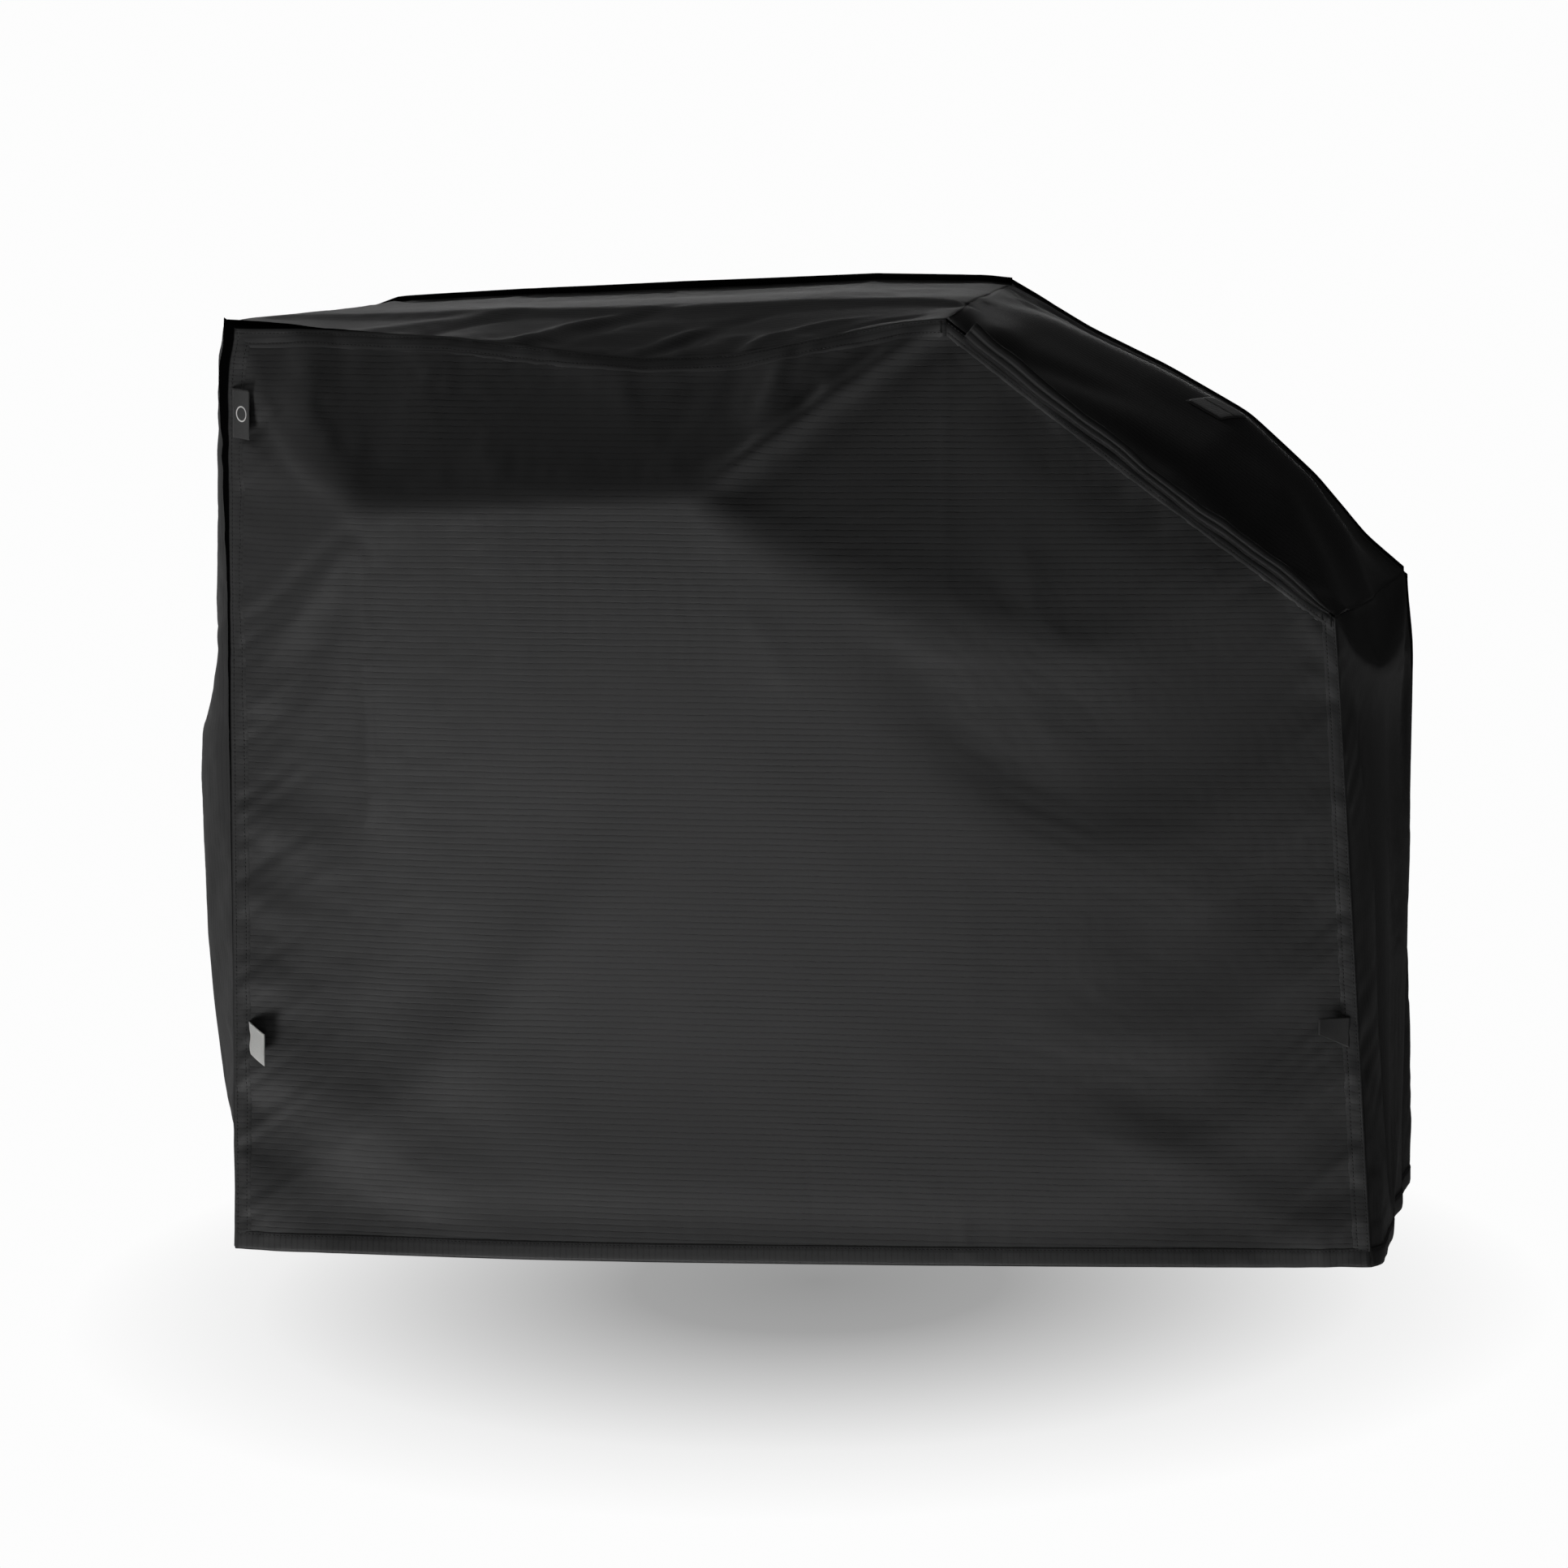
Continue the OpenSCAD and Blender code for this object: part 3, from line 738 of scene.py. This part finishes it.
CLOTH_DARK, CLOTH_LIGHT = (0.0155, 0.0155, 0.0158), (0.0235, 0.0235, 0.0238)
MATERIALS = {
    "cover_cloth": ribbed_cloth("cover_cloth", CLOTH_DARK, CLOTH_LIGHT, 0.56),
    "seam_cloth": ribbed_cloth("seam_cloth", (0.014, 0.014, 0.0143), (0.026, 0.026, 0.0263), 0.52, 0.3,
                               bare_face_and_painted_shade=True),
    "hem_cloth": ribbed_cloth("hem_cloth", (0.013, 0.013, 0.0133), (0.024, 0.024, 0.0243), 0.55, 0.3,
                              bare_face_and_painted_shade=True),
    "thread": thread(),
    "patch_cloth": woven("patch_cloth", (0.035, 0.035, 0.035), (0.065, 0.065, 0.065), 1.2 * MM),
    "webbing": woven("webbing", (0.09, 0.09, 0.09), (0.24, 0.24, 0.24), 2.4 * MM, 0.6, True),
    "woven_label": emblem_label(),
    "care_label": woven("care_label_white", (0.42, 0.42, 0.41), (0.62, 0.62, 0.60), 0.8 * MM, 0.45,
                        sheen=0.3),
    "tab_cloth": woven("tab_cloth", (0.010, 0.010, 0.010), (0.027, 0.027, 0.027), 1.1 * MM, 0.6),
}


# ---------------------------------------------------------------- meshes

def new_piece(name, points, faces, cut, slot, body=COVER, replaces=(), smooth_faces=True):
    mesh = bpy.data.meshes.new(name)
    mesh.from_pydata(np.asarray(points).tolist(), [], [list(map(int, f)) for f in faces])
    layer = mesh.uv_layers.new(name="cut")
    loops = np.zeros(len(mesh.loops), np.int32)
    mesh.loops.foreach_get("vertex_index", loops)
    layer.data.foreach_set("uv", np.asarray(cut, np.float32)[loops].ravel())
    mesh.polygons.foreach_set("use_smooth", [smooth_faces] * len(mesh.polygons))
    mesh.materials.append(MATERIALS[slot])
    mesh.update()
    piece = bpy.data.objects.new(name, mesh)
    bpy.context.scene.collection.objects.link(piece)
    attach(piece, body)
    if replaces:
        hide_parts(*replaces)
    return piece


def quads_of(rows, cols, first=0, flip=False):
    quads = grid_quads(first + np.arange(rows * cols).reshape(rows, cols))
    return quads[:, ::-1] if flip else quads


def closed_sheet(name, grid, cut, slot, side=1, thick=CLOTH_T, **kind):
    """A grid as cloth of real thickness: its outer face, its inner face and the rim between."""
    rows, cols = grid.shape[:2]
    inner = grid - normals(grid, side) * thick
    count = rows * cols
    table = np.arange(count).reshape(rows, cols)
    rim = np.concatenate([table[:, 0], table[-1, 1:], table[-2::-1, -1], table[0, -2:0:-1]])
    after = np.roll(rim, -1)
    walls = np.stack([rim, after, after + count, rim + count], axis=-1)
    if side > 0:
        walls = walls[:, ::-1]
    faces = np.concatenate([quads_of(rows, cols, 0, side < 0), quads_of(rows, cols, count, side > 0), walls])
    points = np.concatenate([grid.reshape(-1, 3), inner.reshape(-1, 3)])
    maps = np.concatenate([cut.reshape(-1, 2)] * 2)
    return new_piece(name, points, faces, maps, slot, **kind)


def curve_inward(line, distances):
    """Points at the given distances from the start of a line of points, straight on before it."""
    at = run_of(line)
    start = unit(line[1] - line[0])
    out = np.stack([np.interp(distances, at, line[:, k]) for k in range(3)], axis=-1)
    before = np.minimum(distances, 0)[:, None]
    return out + start * before


class Edge:
    """One edge of a panel: lines of cloth that run inwards from it, and the cloth's normals there."""

    def __init__(self, lines, line_normals):
        self.lines = lines
        self.normals = line_normals

    def points(self, distances):
        return np.stack([curve_inward(line, distances) for line in self.lines])

    def at(self, distances):
        """Points and normals, each as an array over the edge's length and the distances."""
        p = self.points(distances)
        n = []
        for line, normal in zip(self.lines, self.normals):
            where = run_of(line)
            n.append(np.stack([np.interp(distances, where, normal[:, k]) for k in range(3)], axis=-1))
        return p, unit(np.array(n))

    def rail(self, distance, lift):
        p, n = self.at(np.array([distance]))
        return p[:, 0] + n[:, 0] * lift, n[:, 0]


def edge_of(grid, which, side=1, reach=8):
    """The named edge of a grid: first or last along axis 0, or along axis 1."""
    n = normals(grid, side)
    if which in ("a0", "a1"):
        g, m = (grid, n) if which == "a0" else (grid[::-1], n[::-1])
        g, m = g[:reach], m[:reach]
        return Edge(np.moveaxis(g, 1, 0), np.moveaxis(m, 1, 0))
    g, m = (grid, n) if which == "b0" else (grid[:, ::-1], n[:, ::-1])
    return Edge(g[:, :reach], m[:, :reach])


def tube_faces(rows, cols):
    """Faces of rows of closed sections, each with cols points, capped at both ends."""
    table = np.arange(rows * cols).reshape(rows, cols)
    right = np.roll(table, -1, axis=1)
    faces = np.stack([table[:-1], table[1:], right[1:], right[:-1]], axis=-1).reshape(-1, 4).tolist()
    return faces + [table[0].tolist(), table[-1][::-1].tolist()]


def band(name, edge, profile, slot, welt=((0, 0), (1, 0)), painted_shade=False, corner=(0, 0), **kind):
    """A folded strip along an edge. profile is its closed section: (distance inwards, lift), in mm.

    welt is how far its turned edge stands past the panel, where the material colours it nearly black,
    partly as bare inner face and partly as painted shade. corner turns that edge on at either end,
    and shaded paints on the band the shadow of the fold above it, darkest at the seam.
    and shaded colours it as the dark cloth under a fold.
    """
    section = np.array(profile, float) * MM
    p, n = edge.at(section[:, 0])
    rows, cols = p.shape[:2]
    points = p + n * section[:, 1][None, :, None]
    s = run_of(points[:, 0])
    at, stand = zip(*welt)
    past = np.interp(s / s[-1], at, stand)[:, None] * MM * (section[:, 0] < -0.4 * MM)[None, :]
    points -= unit(p[:, 7] - p[:, 3])[:, None, :] * past[..., None]
    across = section[:, 0] - past
    level = name.endswith(("top_seam_band", "slope_seam_band"))
    ribs = across + 0.02 * s[:, None] if level else np.broadcast_to(s[:, None], (rows, cols))
    # Painted shadow of the fold: the band's cut map is moved into the dark range, darkest at the seam
    if painted_shade:
        across = -0.0032 + 0.0022 * np.clip(across / SEAM_W, 0, 1)
    cut = np.stack([across, ribs], axis=-1)
    for row, after, turn in ((0, 1, corner[0]), (-1, -2, corner[1])):
        points[row] += turn * past[row][:, None] * unit(p[row, 0] - p[after, 0])
    piece = new_piece(name, points.reshape(-1, 3), tube_faces(rows, cols), cut.reshape(-1, 2), slot, **kind)
    outward(piece)
    return piece


def outward(piece):
    """Turns every face of a closed mesh outwards."""
    bm = bmesh.new()
    bm.from_mesh(piece.data)
    bmesh.ops.recalc_face_normals(bm, faces=bm.faces)
    bm.to_mesh(piece.data)
    bm.free()


SEAM_PROFILE = [(-0.9, -0.5), (-1.0, 0.5), (-0.2, 1.25), (1.2, 1.4), (2.6, 0.95), (4.2, 1.2), (7, 1.2),
                (10, 1.1), (13, 0.9), (14.6, 0.5), (16, 0.6), (17.4, 0.42), (19, 0.1), (21, -0.3),
                (21, -0.9), (9, -0.9)]
HEM_PROFILE = [(-1.0, -0.2), (-0.6, 0.9), (1.2, 1.5), (6, 1.6), (12, 1.5), (15.4, 1.4), (16.6, 1.0),
               (17.8, 1.2), (19, 0.7), (20, 0.1), (21, -0.4), (21, -1.7), (12, -1.9), (3, -1.9), (-0.5, -1.4)]
# How far a seam's turned edge stands past the panel: share along the edge and mm.
# What stands past is coloured nearly black, partly as bare inner face and partly as painted shade
WELTS = {
    "front_left": [(0, 1), (0.3, 1.5), (0.5, 3), (0.65, 6), (0.8, 10), (0.93, 14), (1, 15)],
    "front_top": [(0, 12), (0.04, 10), (0.12, 4), (0.22, 1), (1, 0)],
    "rear_top": [(0, 0), (0.02, 2), (0.05, 8), (0.5, 11), (1, 9)],
    "rear_slope": [(0, 7), (0.1, 4), (0.5, 4), (1, 5)],
    "rear_right": [(0, 0), (0.5, 1), (0.9, 4), (1, 5)],
}


def stitch_rows(rails, pitch=4.6 * MM, length=3.3 * MM, radius=0.5 * MM):
    """Points and faces of a run of stitches along each rail, given as (points, normals)."""
    points, faces, count = [], [], 0
    ring = [(math.cos(a), math.sin(a)) for a in np.linspace(0, 2 * math.pi, 6, endpoint=False)]
    for line, normal in rails:
        at = run_of(line)
        starts = np.arange(0.5 * pitch, at[-1] - pitch, pitch)
        for s in starts:
            marks = s + np.array([0, 0.5, 1]) * length
            here = np.stack([np.interp(marks, at, line[:, k]) for k in range(3)], axis=-1)
            up = unit(np.array([np.interp(s, at, normal[:, k]) for k in range(3)]))
            ahead = unit(here[2] - here[0])
            aside = np.cross(up, ahead)
            for share, sink, size in ((0, 0.5, 0.45), (0.5, 0.0, 1.0), (1, 0.5, 0.45)):
                middle = here[int(share * 2)] - up * sink * radius
                for c, d in ring:
                    points.append(middle + aside * c * radius * size + up * d * radius * size * 0.8)
            for k in range(2):
                for m in range(6):
                    a, b = count + k * 6 + m, count + k * 6 + (m + 1) % 6
                    faces.append((a, b, b + 6, a + 6))
            faces.append(tuple(range(count + 5, count - 1, -1)))
            faces.append(tuple(range(count + 12, count + 18)))
            count += 18
    return np.array(points), faces


# ---------------------------------------------------------------- the cover

strip, front, rear = designed()
FLAT_FRONT, FLAT_STRIP, FLAT_REAR = front.copy(), strip.copy(), rear.copy()
strip, front, rear = relaxed(strip, front, rear)

PARTS = {
    "left": (0, N_SIDE), "top": (N_SIDE, N_SIDE + N_TOP), "slope": (N_SIDE + N_TOP, N_SIDE + N_TOP + N_SLOPE),
    "right": (N_SIDE + N_TOP + N_SLOPE, len(strip) - 1),
}


def fine(grid):
    return refine(refine(grid, 0), 1)


parts = {name: fine(strip[a:b + 1]) for name, (a, b) in PARTS.items()}
front, rear = fine(front), fine(rear)
for grid, j in ((front, 0), (rear, -1)):
    grid[0] = parts["left"][:, j]
    grid[-1] = parts["right"][::-1, j]
    grid[:, -1] = np.concatenate([parts["top"][:, j], parts["slope"][1:, j]])

front = detail_front(front)
rear = detail_rear(rear)
parts["top"] = detail_strip(parts["top"], 0.0, 41, False)
parts["slope"] = detail_strip(parts["slope"], 0.85, 46, False)
parts["left"] = detail_strip(parts["left"], -1.11, 51, True)
parts["right"] = detail_strip(parts["right"], 1.41, 56, True)

front_cut = fine(FLAT_FRONT)[..., [0, 2]]
rear_cut = fine(FLAT_REAR)[..., [0, 2]]


def strip_cut(name):
    a, b = PARTS[name]
    along = np.linspace(a, b, (b - a) * FINER + 1) * CELL
    depth = np.linspace(0, 0.6, N_DEPTH * FINER + 1)
    return np.stack(np.meshgrid(along, depth, indexing="ij"), axis=-1)


front_panel = closed_sheet("front_panel_cloth", front, front_cut, "cover_cloth", replaces=["front_panel"])
rear_panel = closed_sheet("rear_panel_cloth", rear, rear_cut, "cover_cloth", side=-1, replaces=["rear_panel"])
left_panel, top_panel, slope_panel, right_panel = (
    closed_sheet(f"{node}_cloth", parts[name], strip_cut(name), "cover_cloth", replaces=[f"{node}_panel"])
    for name, node in (("left", "left_side"), ("top", "top"), ("slope", "slope"), ("right", "right_side"))
)

# Seam bands on the front and rear panels, and hems round the bottom
top_cells = N_TOP * FINER
edges = {
    "front_left": edge_of(front, "a0"), "front_right": edge_of(front, "a1"),
    "front_top": edge_of(front[:top_cells + 1], "b1"), "front_slope": edge_of(front[top_cells:], "b1"),
    "rear_left": edge_of(rear, "a0", -1), "rear_right": edge_of(rear, "a1", -1),
    "rear_top": edge_of(rear[:top_cells + 1], "b1", -1), "rear_slope": edge_of(rear[top_cells:], "b1", -1),
}
# The front's left and top bands turn on at the top left corner, to close it
CORNERS = {"front_top": (1, 0), "front_left": (0, 1)}
# The front slope band gets the fold's shadow painted on it
bands = {
    name: band(f"{name}_seam_band", edge, SEAM_PROFILE, "seam_cloth", WELTS.get(name, ((0, 0), (1, 0))),
               name == "front_slope", CORNERS.get(name, (0, 0)), replaces=[f"{name}_seam"])
    for name, edge in edges.items()
}
hem_edges = {
    "front": edge_of(front, "b0"), "rear": edge_of(rear, "b0", -1),
    "left": edge_of(parts["left"], "a0"), "right": edge_of(parts["right"], "a1"),
}
# The hems' lower edge stands 2 mm out and is coloured dark: partly bare inner face, partly painted shade
hems = {
    name: band(f"hem_{name}_fold", edge, HEM_PROFILE, "hem_cloth", ((0, 2), (1, 2)), replaces=[f"hem_{name}"])
    for name, edge in hem_edges.items()
}

stitch_lines = []
for edge in edges.values():
    stitch_lines += [edge.rail(2.6 * MM, 1.15 * MM), edge.rail(14.6 * MM, 0.65 * MM)]
for edge in hem_edges.values():
    stitch_lines.append(edge.rail(16.6 * MM, 1.15 * MM))
points, faces = stitch_rows(stitch_lines)
stitches = new_piece("topstitching", points, faces, points[:, [0, 2]], "thread")


# ---------------------------------------------------------------- the fold on the slope seam

def slope_fold():
    """The seam allowance that stands along the slope's front edge as a doubled, rolled lip."""
    rail = front[top_cells:, -1]
    at = run_of(rail)
    s = np.arange(30 * MM, at[-1] - 5 * MM, 4 * MM)
    line = np.stack([np.interp(s, at, rail[:, k]) for k in range(3)], axis=-1)
    ahead = unit(np.gradient(line, axis=0))
    out = np.array([0.0, -1.0, 0.0])
    up = unit(np.cross(ahead, out))
    up = up * np.sign(up[:, 2:3])
    share = (s - s[0]) / (s[-1] - s[0])
    width = np.interp(share, [0, 0.06, 0.3, 0.45, 0.7, 0.93, 1], [1.15, 1.1, 0.92, 0.72, 0.86, 0.76, 0.3])
    width *= 1 + 0.06 * waves(s, 71, [0.05, 0.11])
    lean = 1.6 * MM * waves(s, 72, [0.09, 0.2])
    section = np.array([(0, -5.5), (6.5, -6.2), (10.6, -4.6), (12.0, -2.4), (11.2, 1.0), (10.0, 4.0),
                        (9.0, 5.4), (9.3, 6.6), (9.0, 9.4), (7.6, 12.4), (5.4, 14.6), (2.6, 15.2),
                        (0.0, 12.6), (-1.0, 8), (-0.8, 2)]) * MM
    points = np.array([
        p + out * (section[:, :1] * (0.5 + 0.5 * w) + b * 0.4) + u * (section[:, 1:] * w + b)
        for p, u, w, b in zip(line, up, width, lean)
    ])
    rows, cols = points.shape[:2]
    around = np.broadcast_to(np.arange(cols) * 2.8 * MM, (rows, cols))
    # The lip's lower faces and its inner edge are coloured dark: painted shade, though the low key light
    # falls on them
    painted_shade = np.isin(np.arange(cols), [0, 1, 2, 3, 14])
    cut = np.stack([np.where(painted_shade, -0.0025, 0.002) + 0 * s[:, None], around], axis=-1)
    piece = new_piece("front_slope_fold_lip", points.reshape(-1, 3), tube_faces(rows, cols),
                      cut.reshape(-1, 2), "seam_cloth", replaces=["front_slope_fold"])
    outward(piece)
    return piece


fold = slope_fold()


# ---------------------------------------------------------------- bartacks

def bartacks():
    """Short bars of close zigzag stitches where the panels meet at the peak and the shoulder."""
    rails = []
    bar, wide = 13 * MM, 2.6 * MM
    for edge_name in ("front_top", "front_slope", "rear_top", "rear_slope"):
        edge = edges[edge_name]
        is_peak = edge_name.endswith("top")
        for k in range(1 if is_peak else 2):
            place = -2 - 2 * k
            p, n = edge.at(np.linspace(2 * MM, 2 * MM + bar, 15))
            line, normal = p[place] + n[place] * 1.5 * MM, n[place]
            ahead = unit(line[-1] - line[0])
            for a, up in zip(line, normal):
                side = unit(np.cross(up, ahead))
                across = np.array([a - side * wide / 2, a, a + side * wide / 2])
                rails.append((across, np.array([up] * 3)))
    points, faces = [], []
    for line, normal in rails:
        p, f = bar_stitch(line, normal)
        faces += [tuple(i + len(points) for i in face) for face in f]
        points += p
    points = np.array(points)
    return new_piece("corner_bartack_threads", points, faces, points[:, [0, 2]], "thread",
                     replaces=["corner_bartacks"])


def bar_stitch(line, normal, radius=0.5 * MM):
    """Points and faces of one stitch across a bartack."""
    up = unit(normal[0])
    ahead = unit(line[-1] - line[0])
    aside = np.cross(up, ahead)
    points, faces = [], []
    for share, sink, size in ((0, 0.8, 0.5), (0.5, 0, 1), (1, 0.8, 0.5)):
        middle = lerp(line[0], line[-1], share) - up * sink * radius
        for a in np.linspace(0, 2 * math.pi, 6, endpoint=False):
            points.append(middle + (aside * math.cos(a) + up * math.sin(a) * 0.8) * radius * size)
    for k in range(2):
        for m in range(6):
            a, b = k * 6 + m, k * 6 + (m + 1) % 6
            faces.append((a, b, b + 6, a + 6))
    faces += [(5, 4, 3, 2, 1, 0), (12, 13, 14, 15, 16, 17)]
    return points, faces


tacks = bartacks()


# ---------------------------------------------------------------- the patch on the slope

def on_surface(grid, u, v, side=1):
    """Points and normals of a grid at shares u along axis 0 and v along axis 1."""
    n = normals(grid, side)
    a, b = np.clip(u, 0, 1) * (grid.shape[0] - 1), np.clip(v, 0, 1) * (grid.shape[1] - 1)
    i, j = np.minimum(a.astype(int), grid.shape[0] - 2), np.minimum(b.astype(int), grid.shape[1] - 2)
    f, g = (a - i)[..., None], (b - j)[..., None]

    def pick(values):
        low = lerp(values[i, j], values[i + 1, j], f)
        return lerp(low, lerp(values[i, j + 1], values[i + 1, j + 1], f), g)

    return pick(grid), unit(pick(n))


def patch_sheet(name, slot, middle, size, lift, thick, cells, skew=0.0, puff=0.0, **kind):
    """A small cloth rectangle that lies on the slope. middle is (along the slope, depth) in metres."""
    a = np.linspace(-0.5, 0.5, cells[0] + 1)[:, None] * size[0]
    b = np.linspace(-0.5, 0.5, cells[1] + 1)[None, :] * size[1]
    u = (middle[0] + a + skew * b) / 0.564
    v = (middle[1] + b + 0 * a) / 0.6
    p, n = on_surface(parts["slope"], u + 0 * b, v)
    dome = (1 - (2 * a / size[0]) ** 4) * (1 - (2 * b / size[1]) ** 6)
    grid = p + n * (lift + puff * dome)[..., None]
    cut = np.stack([a + 0 * b, b + 0 * a], axis=-1)
    return closed_sheet(name, grid, cut, slot, thick=thick, **kind)


PATCH_AT = (0.292, 0.272)
PATCH_SKEW = 0.36
patch = patch_sheet("slope_patch_base", "patch_cloth", PATCH_AT, (0.044, 0.052), 1.6 * MM, 1.0 * MM,
                    (12, 12), PATCH_SKEW, 0.4 * MM, replaces=["patch_base"])
webs = [
    patch_sheet(f"slope_patch_webbing_{k}", "webbing",
                (PATCH_AT[0] + PATCH_SKEW * shift, PATCH_AT[1] + shift),
                (0.040, 0.022), 3.6 * MM, 1.6 * MM, (14, 8), PATCH_SKEW, 0.8 * MM)
    for k, shift in ((1, -0.0125), (2, 0.0125))
]
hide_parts("patch_webbing")


# ---------------------------------------------------------------- labels

def hinge_of(joint_name):
    return next(j for j in frame["joints"] if j["name"] == joint_name)


def flap_sheet(name, slot, body, node, width, height, angle, towards, bend, thick, curl=0.0, droop=0.0,
               taper=0.0):
    """A label from its hinge line outwards, bent softly so that it isn't flat."""
    joint = hinge_of(f"{node}_fold")
    x0, y0, z0 = joint["pos_m"]
    cols, rows = 14, 18
    a = np.linspace(0, 1, cols + 1)[:, None]
    b = np.linspace(-0.5, 0.5, rows + 1)[None, :]
    turn = math.radians(angle) + bend * (a - 0.35) + 0 * b
    step = width / cols
    dx = np.cumsum(np.cos(turn) * step, axis=0) - np.cos(turn[:1]) * step
    dy = np.cumsum(np.sin(turn) * step, axis=0) - np.sin(turn[:1]) * step
    ripple = curl * np.sin(math.pi * (b + 0.5) * 1.4 + 0.6) * a
    x = x0 + towards * dx
    y = y0 + 0.1 * MM - np.abs(dy) - ripple
    low = 0.5 - (0.5 - b) * (1 - taper * a)
    z = z0 + low * height - droop * dx
    grid = np.stack([x + 0 * b, y, z], axis=-1)
    cut = np.stack([a * width + 0 * b, (b + 0.5) * height + 0 * a], axis=-1)
    side = 1 if towards > 0 else -1
    return closed_sheet(name, grid, cut, slot, side=side, thick=thick, body=body, replaces=[node])


logo = flap_sheet("logo_label_woven", "woven_label", "logo_flap", "logo_label", 0.030, 0.058,
                  angle=33, towards=1, bend=0.2, thick=0.7 * MM, curl=0.8 * MM, droop=0.1)
care = flap_sheet("care_label_ribbon", "care_label", "care_flap", "care_label", 0.034, 0.038,
                  angle=46, towards=1, bend=-0.35, thick=0.6 * MM, curl=1.2 * MM, droop=0.5)
tab = flap_sheet("size_tab_cloth", "tab_cloth", "tab_flap", "size_tab", 0.040, 0.036,
                 angle=26, towards=-1, bend=0.2, thick=0.7 * MM, curl=0.6 * MM, taper=0.5)


# ---------------------------------------------------------------- floor, light and camera

FLOOR_Z = -1.228


def make_floor():
    """A plain pale floor. The soft pool of shade under the cover is painted on it, not cast."""
    mesh = bpy.data.meshes.new("floor")
    size = 40
    corners = [(x, y, FLOOR_Z) for x, y in ((-size, -size), (size, -size), (size, size), (-size, size))]
    mesh.from_pydata(corners, [], [(0, 1, 2, 3)])
    floor = bpy.data.objects.new("floor", mesh)
    bpy.context.scene.collection.objects.link(floor)
    mat, tree, shader = nodes_of("floor_pale")
    tree.nodes.remove(shader)
    place = add(tree, "ShaderNodeTexCoord").outputs["Object"]
    fit = add(tree, "ShaderNodeMapping")
    fit.inputs["Location"].default_value = (-0.215, -0.10, -FLOOR_Z)
    fit.vector_type = "POINT"
    tree.links.new(place, fit.inputs["Vector"])
    squeeze = add(tree, "ShaderNodeVectorMath", operation="MULTIPLY")
    squeeze.inputs[1].default_value = (1 / 0.92, 1 / 1.15, 0)
    tree.links.new(fit.outputs[0], squeeze.inputs[0])
    length = add(tree, "ShaderNodeVectorMath", operation="LENGTH")
    tree.links.new(squeeze.outputs[0], length.inputs[0])
    ramp = add(tree, "ShaderNodeValToRGB")
    tree.links.new(length.outputs["Value"], ramp.inputs["Fac"])
    stops = ramp.color_ramp.elements
    stops[0].position, stops[0].color = 0.0, (0.30, 0.30, 0.30, 1)
    stops[1].position, stops[1].color = 1.0, (0.98, 0.98, 0.98, 1)
    for at, grey in ((0.25, 0.36), (0.5, 0.60), (0.75, 0.86)):
        stop = stops.new(at)
        stop.color = (grey, grey, grey, 1)
    glow = add(tree, "ShaderNodeEmission")
    tree.links.new(ramp.outputs["Color"], glow.inputs["Color"])
    out = tree.nodes["Material Output"]
    tree.links.new(glow.outputs[0], out.inputs["Surface"])
    mesh.materials.append(mat)
    floor.visible_diffuse = False
    floor.visible_glossy = False
    floor.visible_shadow = False


def make_world():
    world = bpy.data.worlds.new("studio")
    bpy.context.scene.world = world
    world.use_nodes = True
    tree = world.node_tree
    back = tree.nodes["Background"]
    back.inputs["Color"].default_value = (0.98, 0.98, 0.98, 1)
    path = tree.nodes.new("ShaderNodeLightPath")
    level = tree.nodes.new("ShaderNodeMapRange")
    level.inputs["To Min"].default_value = 0.08
    level.inputs["To Max"].default_value = 1.0
    tree.links.new(path.outputs["Is Camera Ray"], level.inputs["Value"])
    tree.links.new(level.outputs[0], back.inputs["Strength"])
    world.cycles_visibility.glossy = False


def area_light(name, place, towards, size, power, spread=180):
    data = bpy.data.lights.new(name, "AREA")
    data.shape = "RECTANGLE"
    data.size, data.size_y = size
    data.energy = power
    data.spread = math.radians(spread)
    light = bpy.data.objects.new(name, data)
    bpy.context.scene.collection.objects.link(light)
    light.location = place
    light.rotation_mode = "QUATERNION"
    light.rotation_quaternion = (Vector(towards) - Vector(place)).to_track_quat("-Z", "Y")
    light.visible_camera = False
    return light


def make_camera():
    data = bpy.data.cameras.new("camera")
    data.sensor_width = 36
    data.lens = 117.4
    camera = bpy.data.objects.new("camera", data)
    bpy.context.scene.collection.objects.link(camera)
    yaw, pitch = math.radians(9), math.radians(6.9)
    ahead = Vector((-math.sin(yaw) * math.cos(pitch), math.cos(yaw) * math.cos(pitch), -math.sin(pitch)))
    camera.location = (1.162, -6.155, 0.169)
    camera.rotation_mode = "QUATERNION"
    camera.rotation_quaternion = ahead.to_track_quat("-Z", "Y")
    bpy.context.scene.camera = camera


make_floor()
make_world()
area_light("key_low_left", (-2.8, -4.6, -6.3), (0.10, -0.35, 0.46), (2.2, 2.2), 21, 30)
area_light("fill_right", (1.0, -5.2, -5.4), (0.62, -0.3, -0.45), (2.0, 2.0), 5, 36)
area_light("fill_front", (-2.4, -6.5, -0.6), (0.2, -0.3, -0.4), (2.5, 2.5), 8)
area_light("high_left", (-3.7, 0.3, 3.1), (0.0, 0.0, -0.1), (1.6, 1.6), 56)
area_light("back_high", (-1.3, 4.6, 1.0), (0.0, 0.0, 0.0), (2.4, 0.8), 14)
area_light("fill_rear", (-0.3, 6.0, -0.1), (0.2, 0.3, -0.5), (2.5, 2.5), 60)
make_camera()
bpy.context.scene.view_settings.view_transform = "Standard"
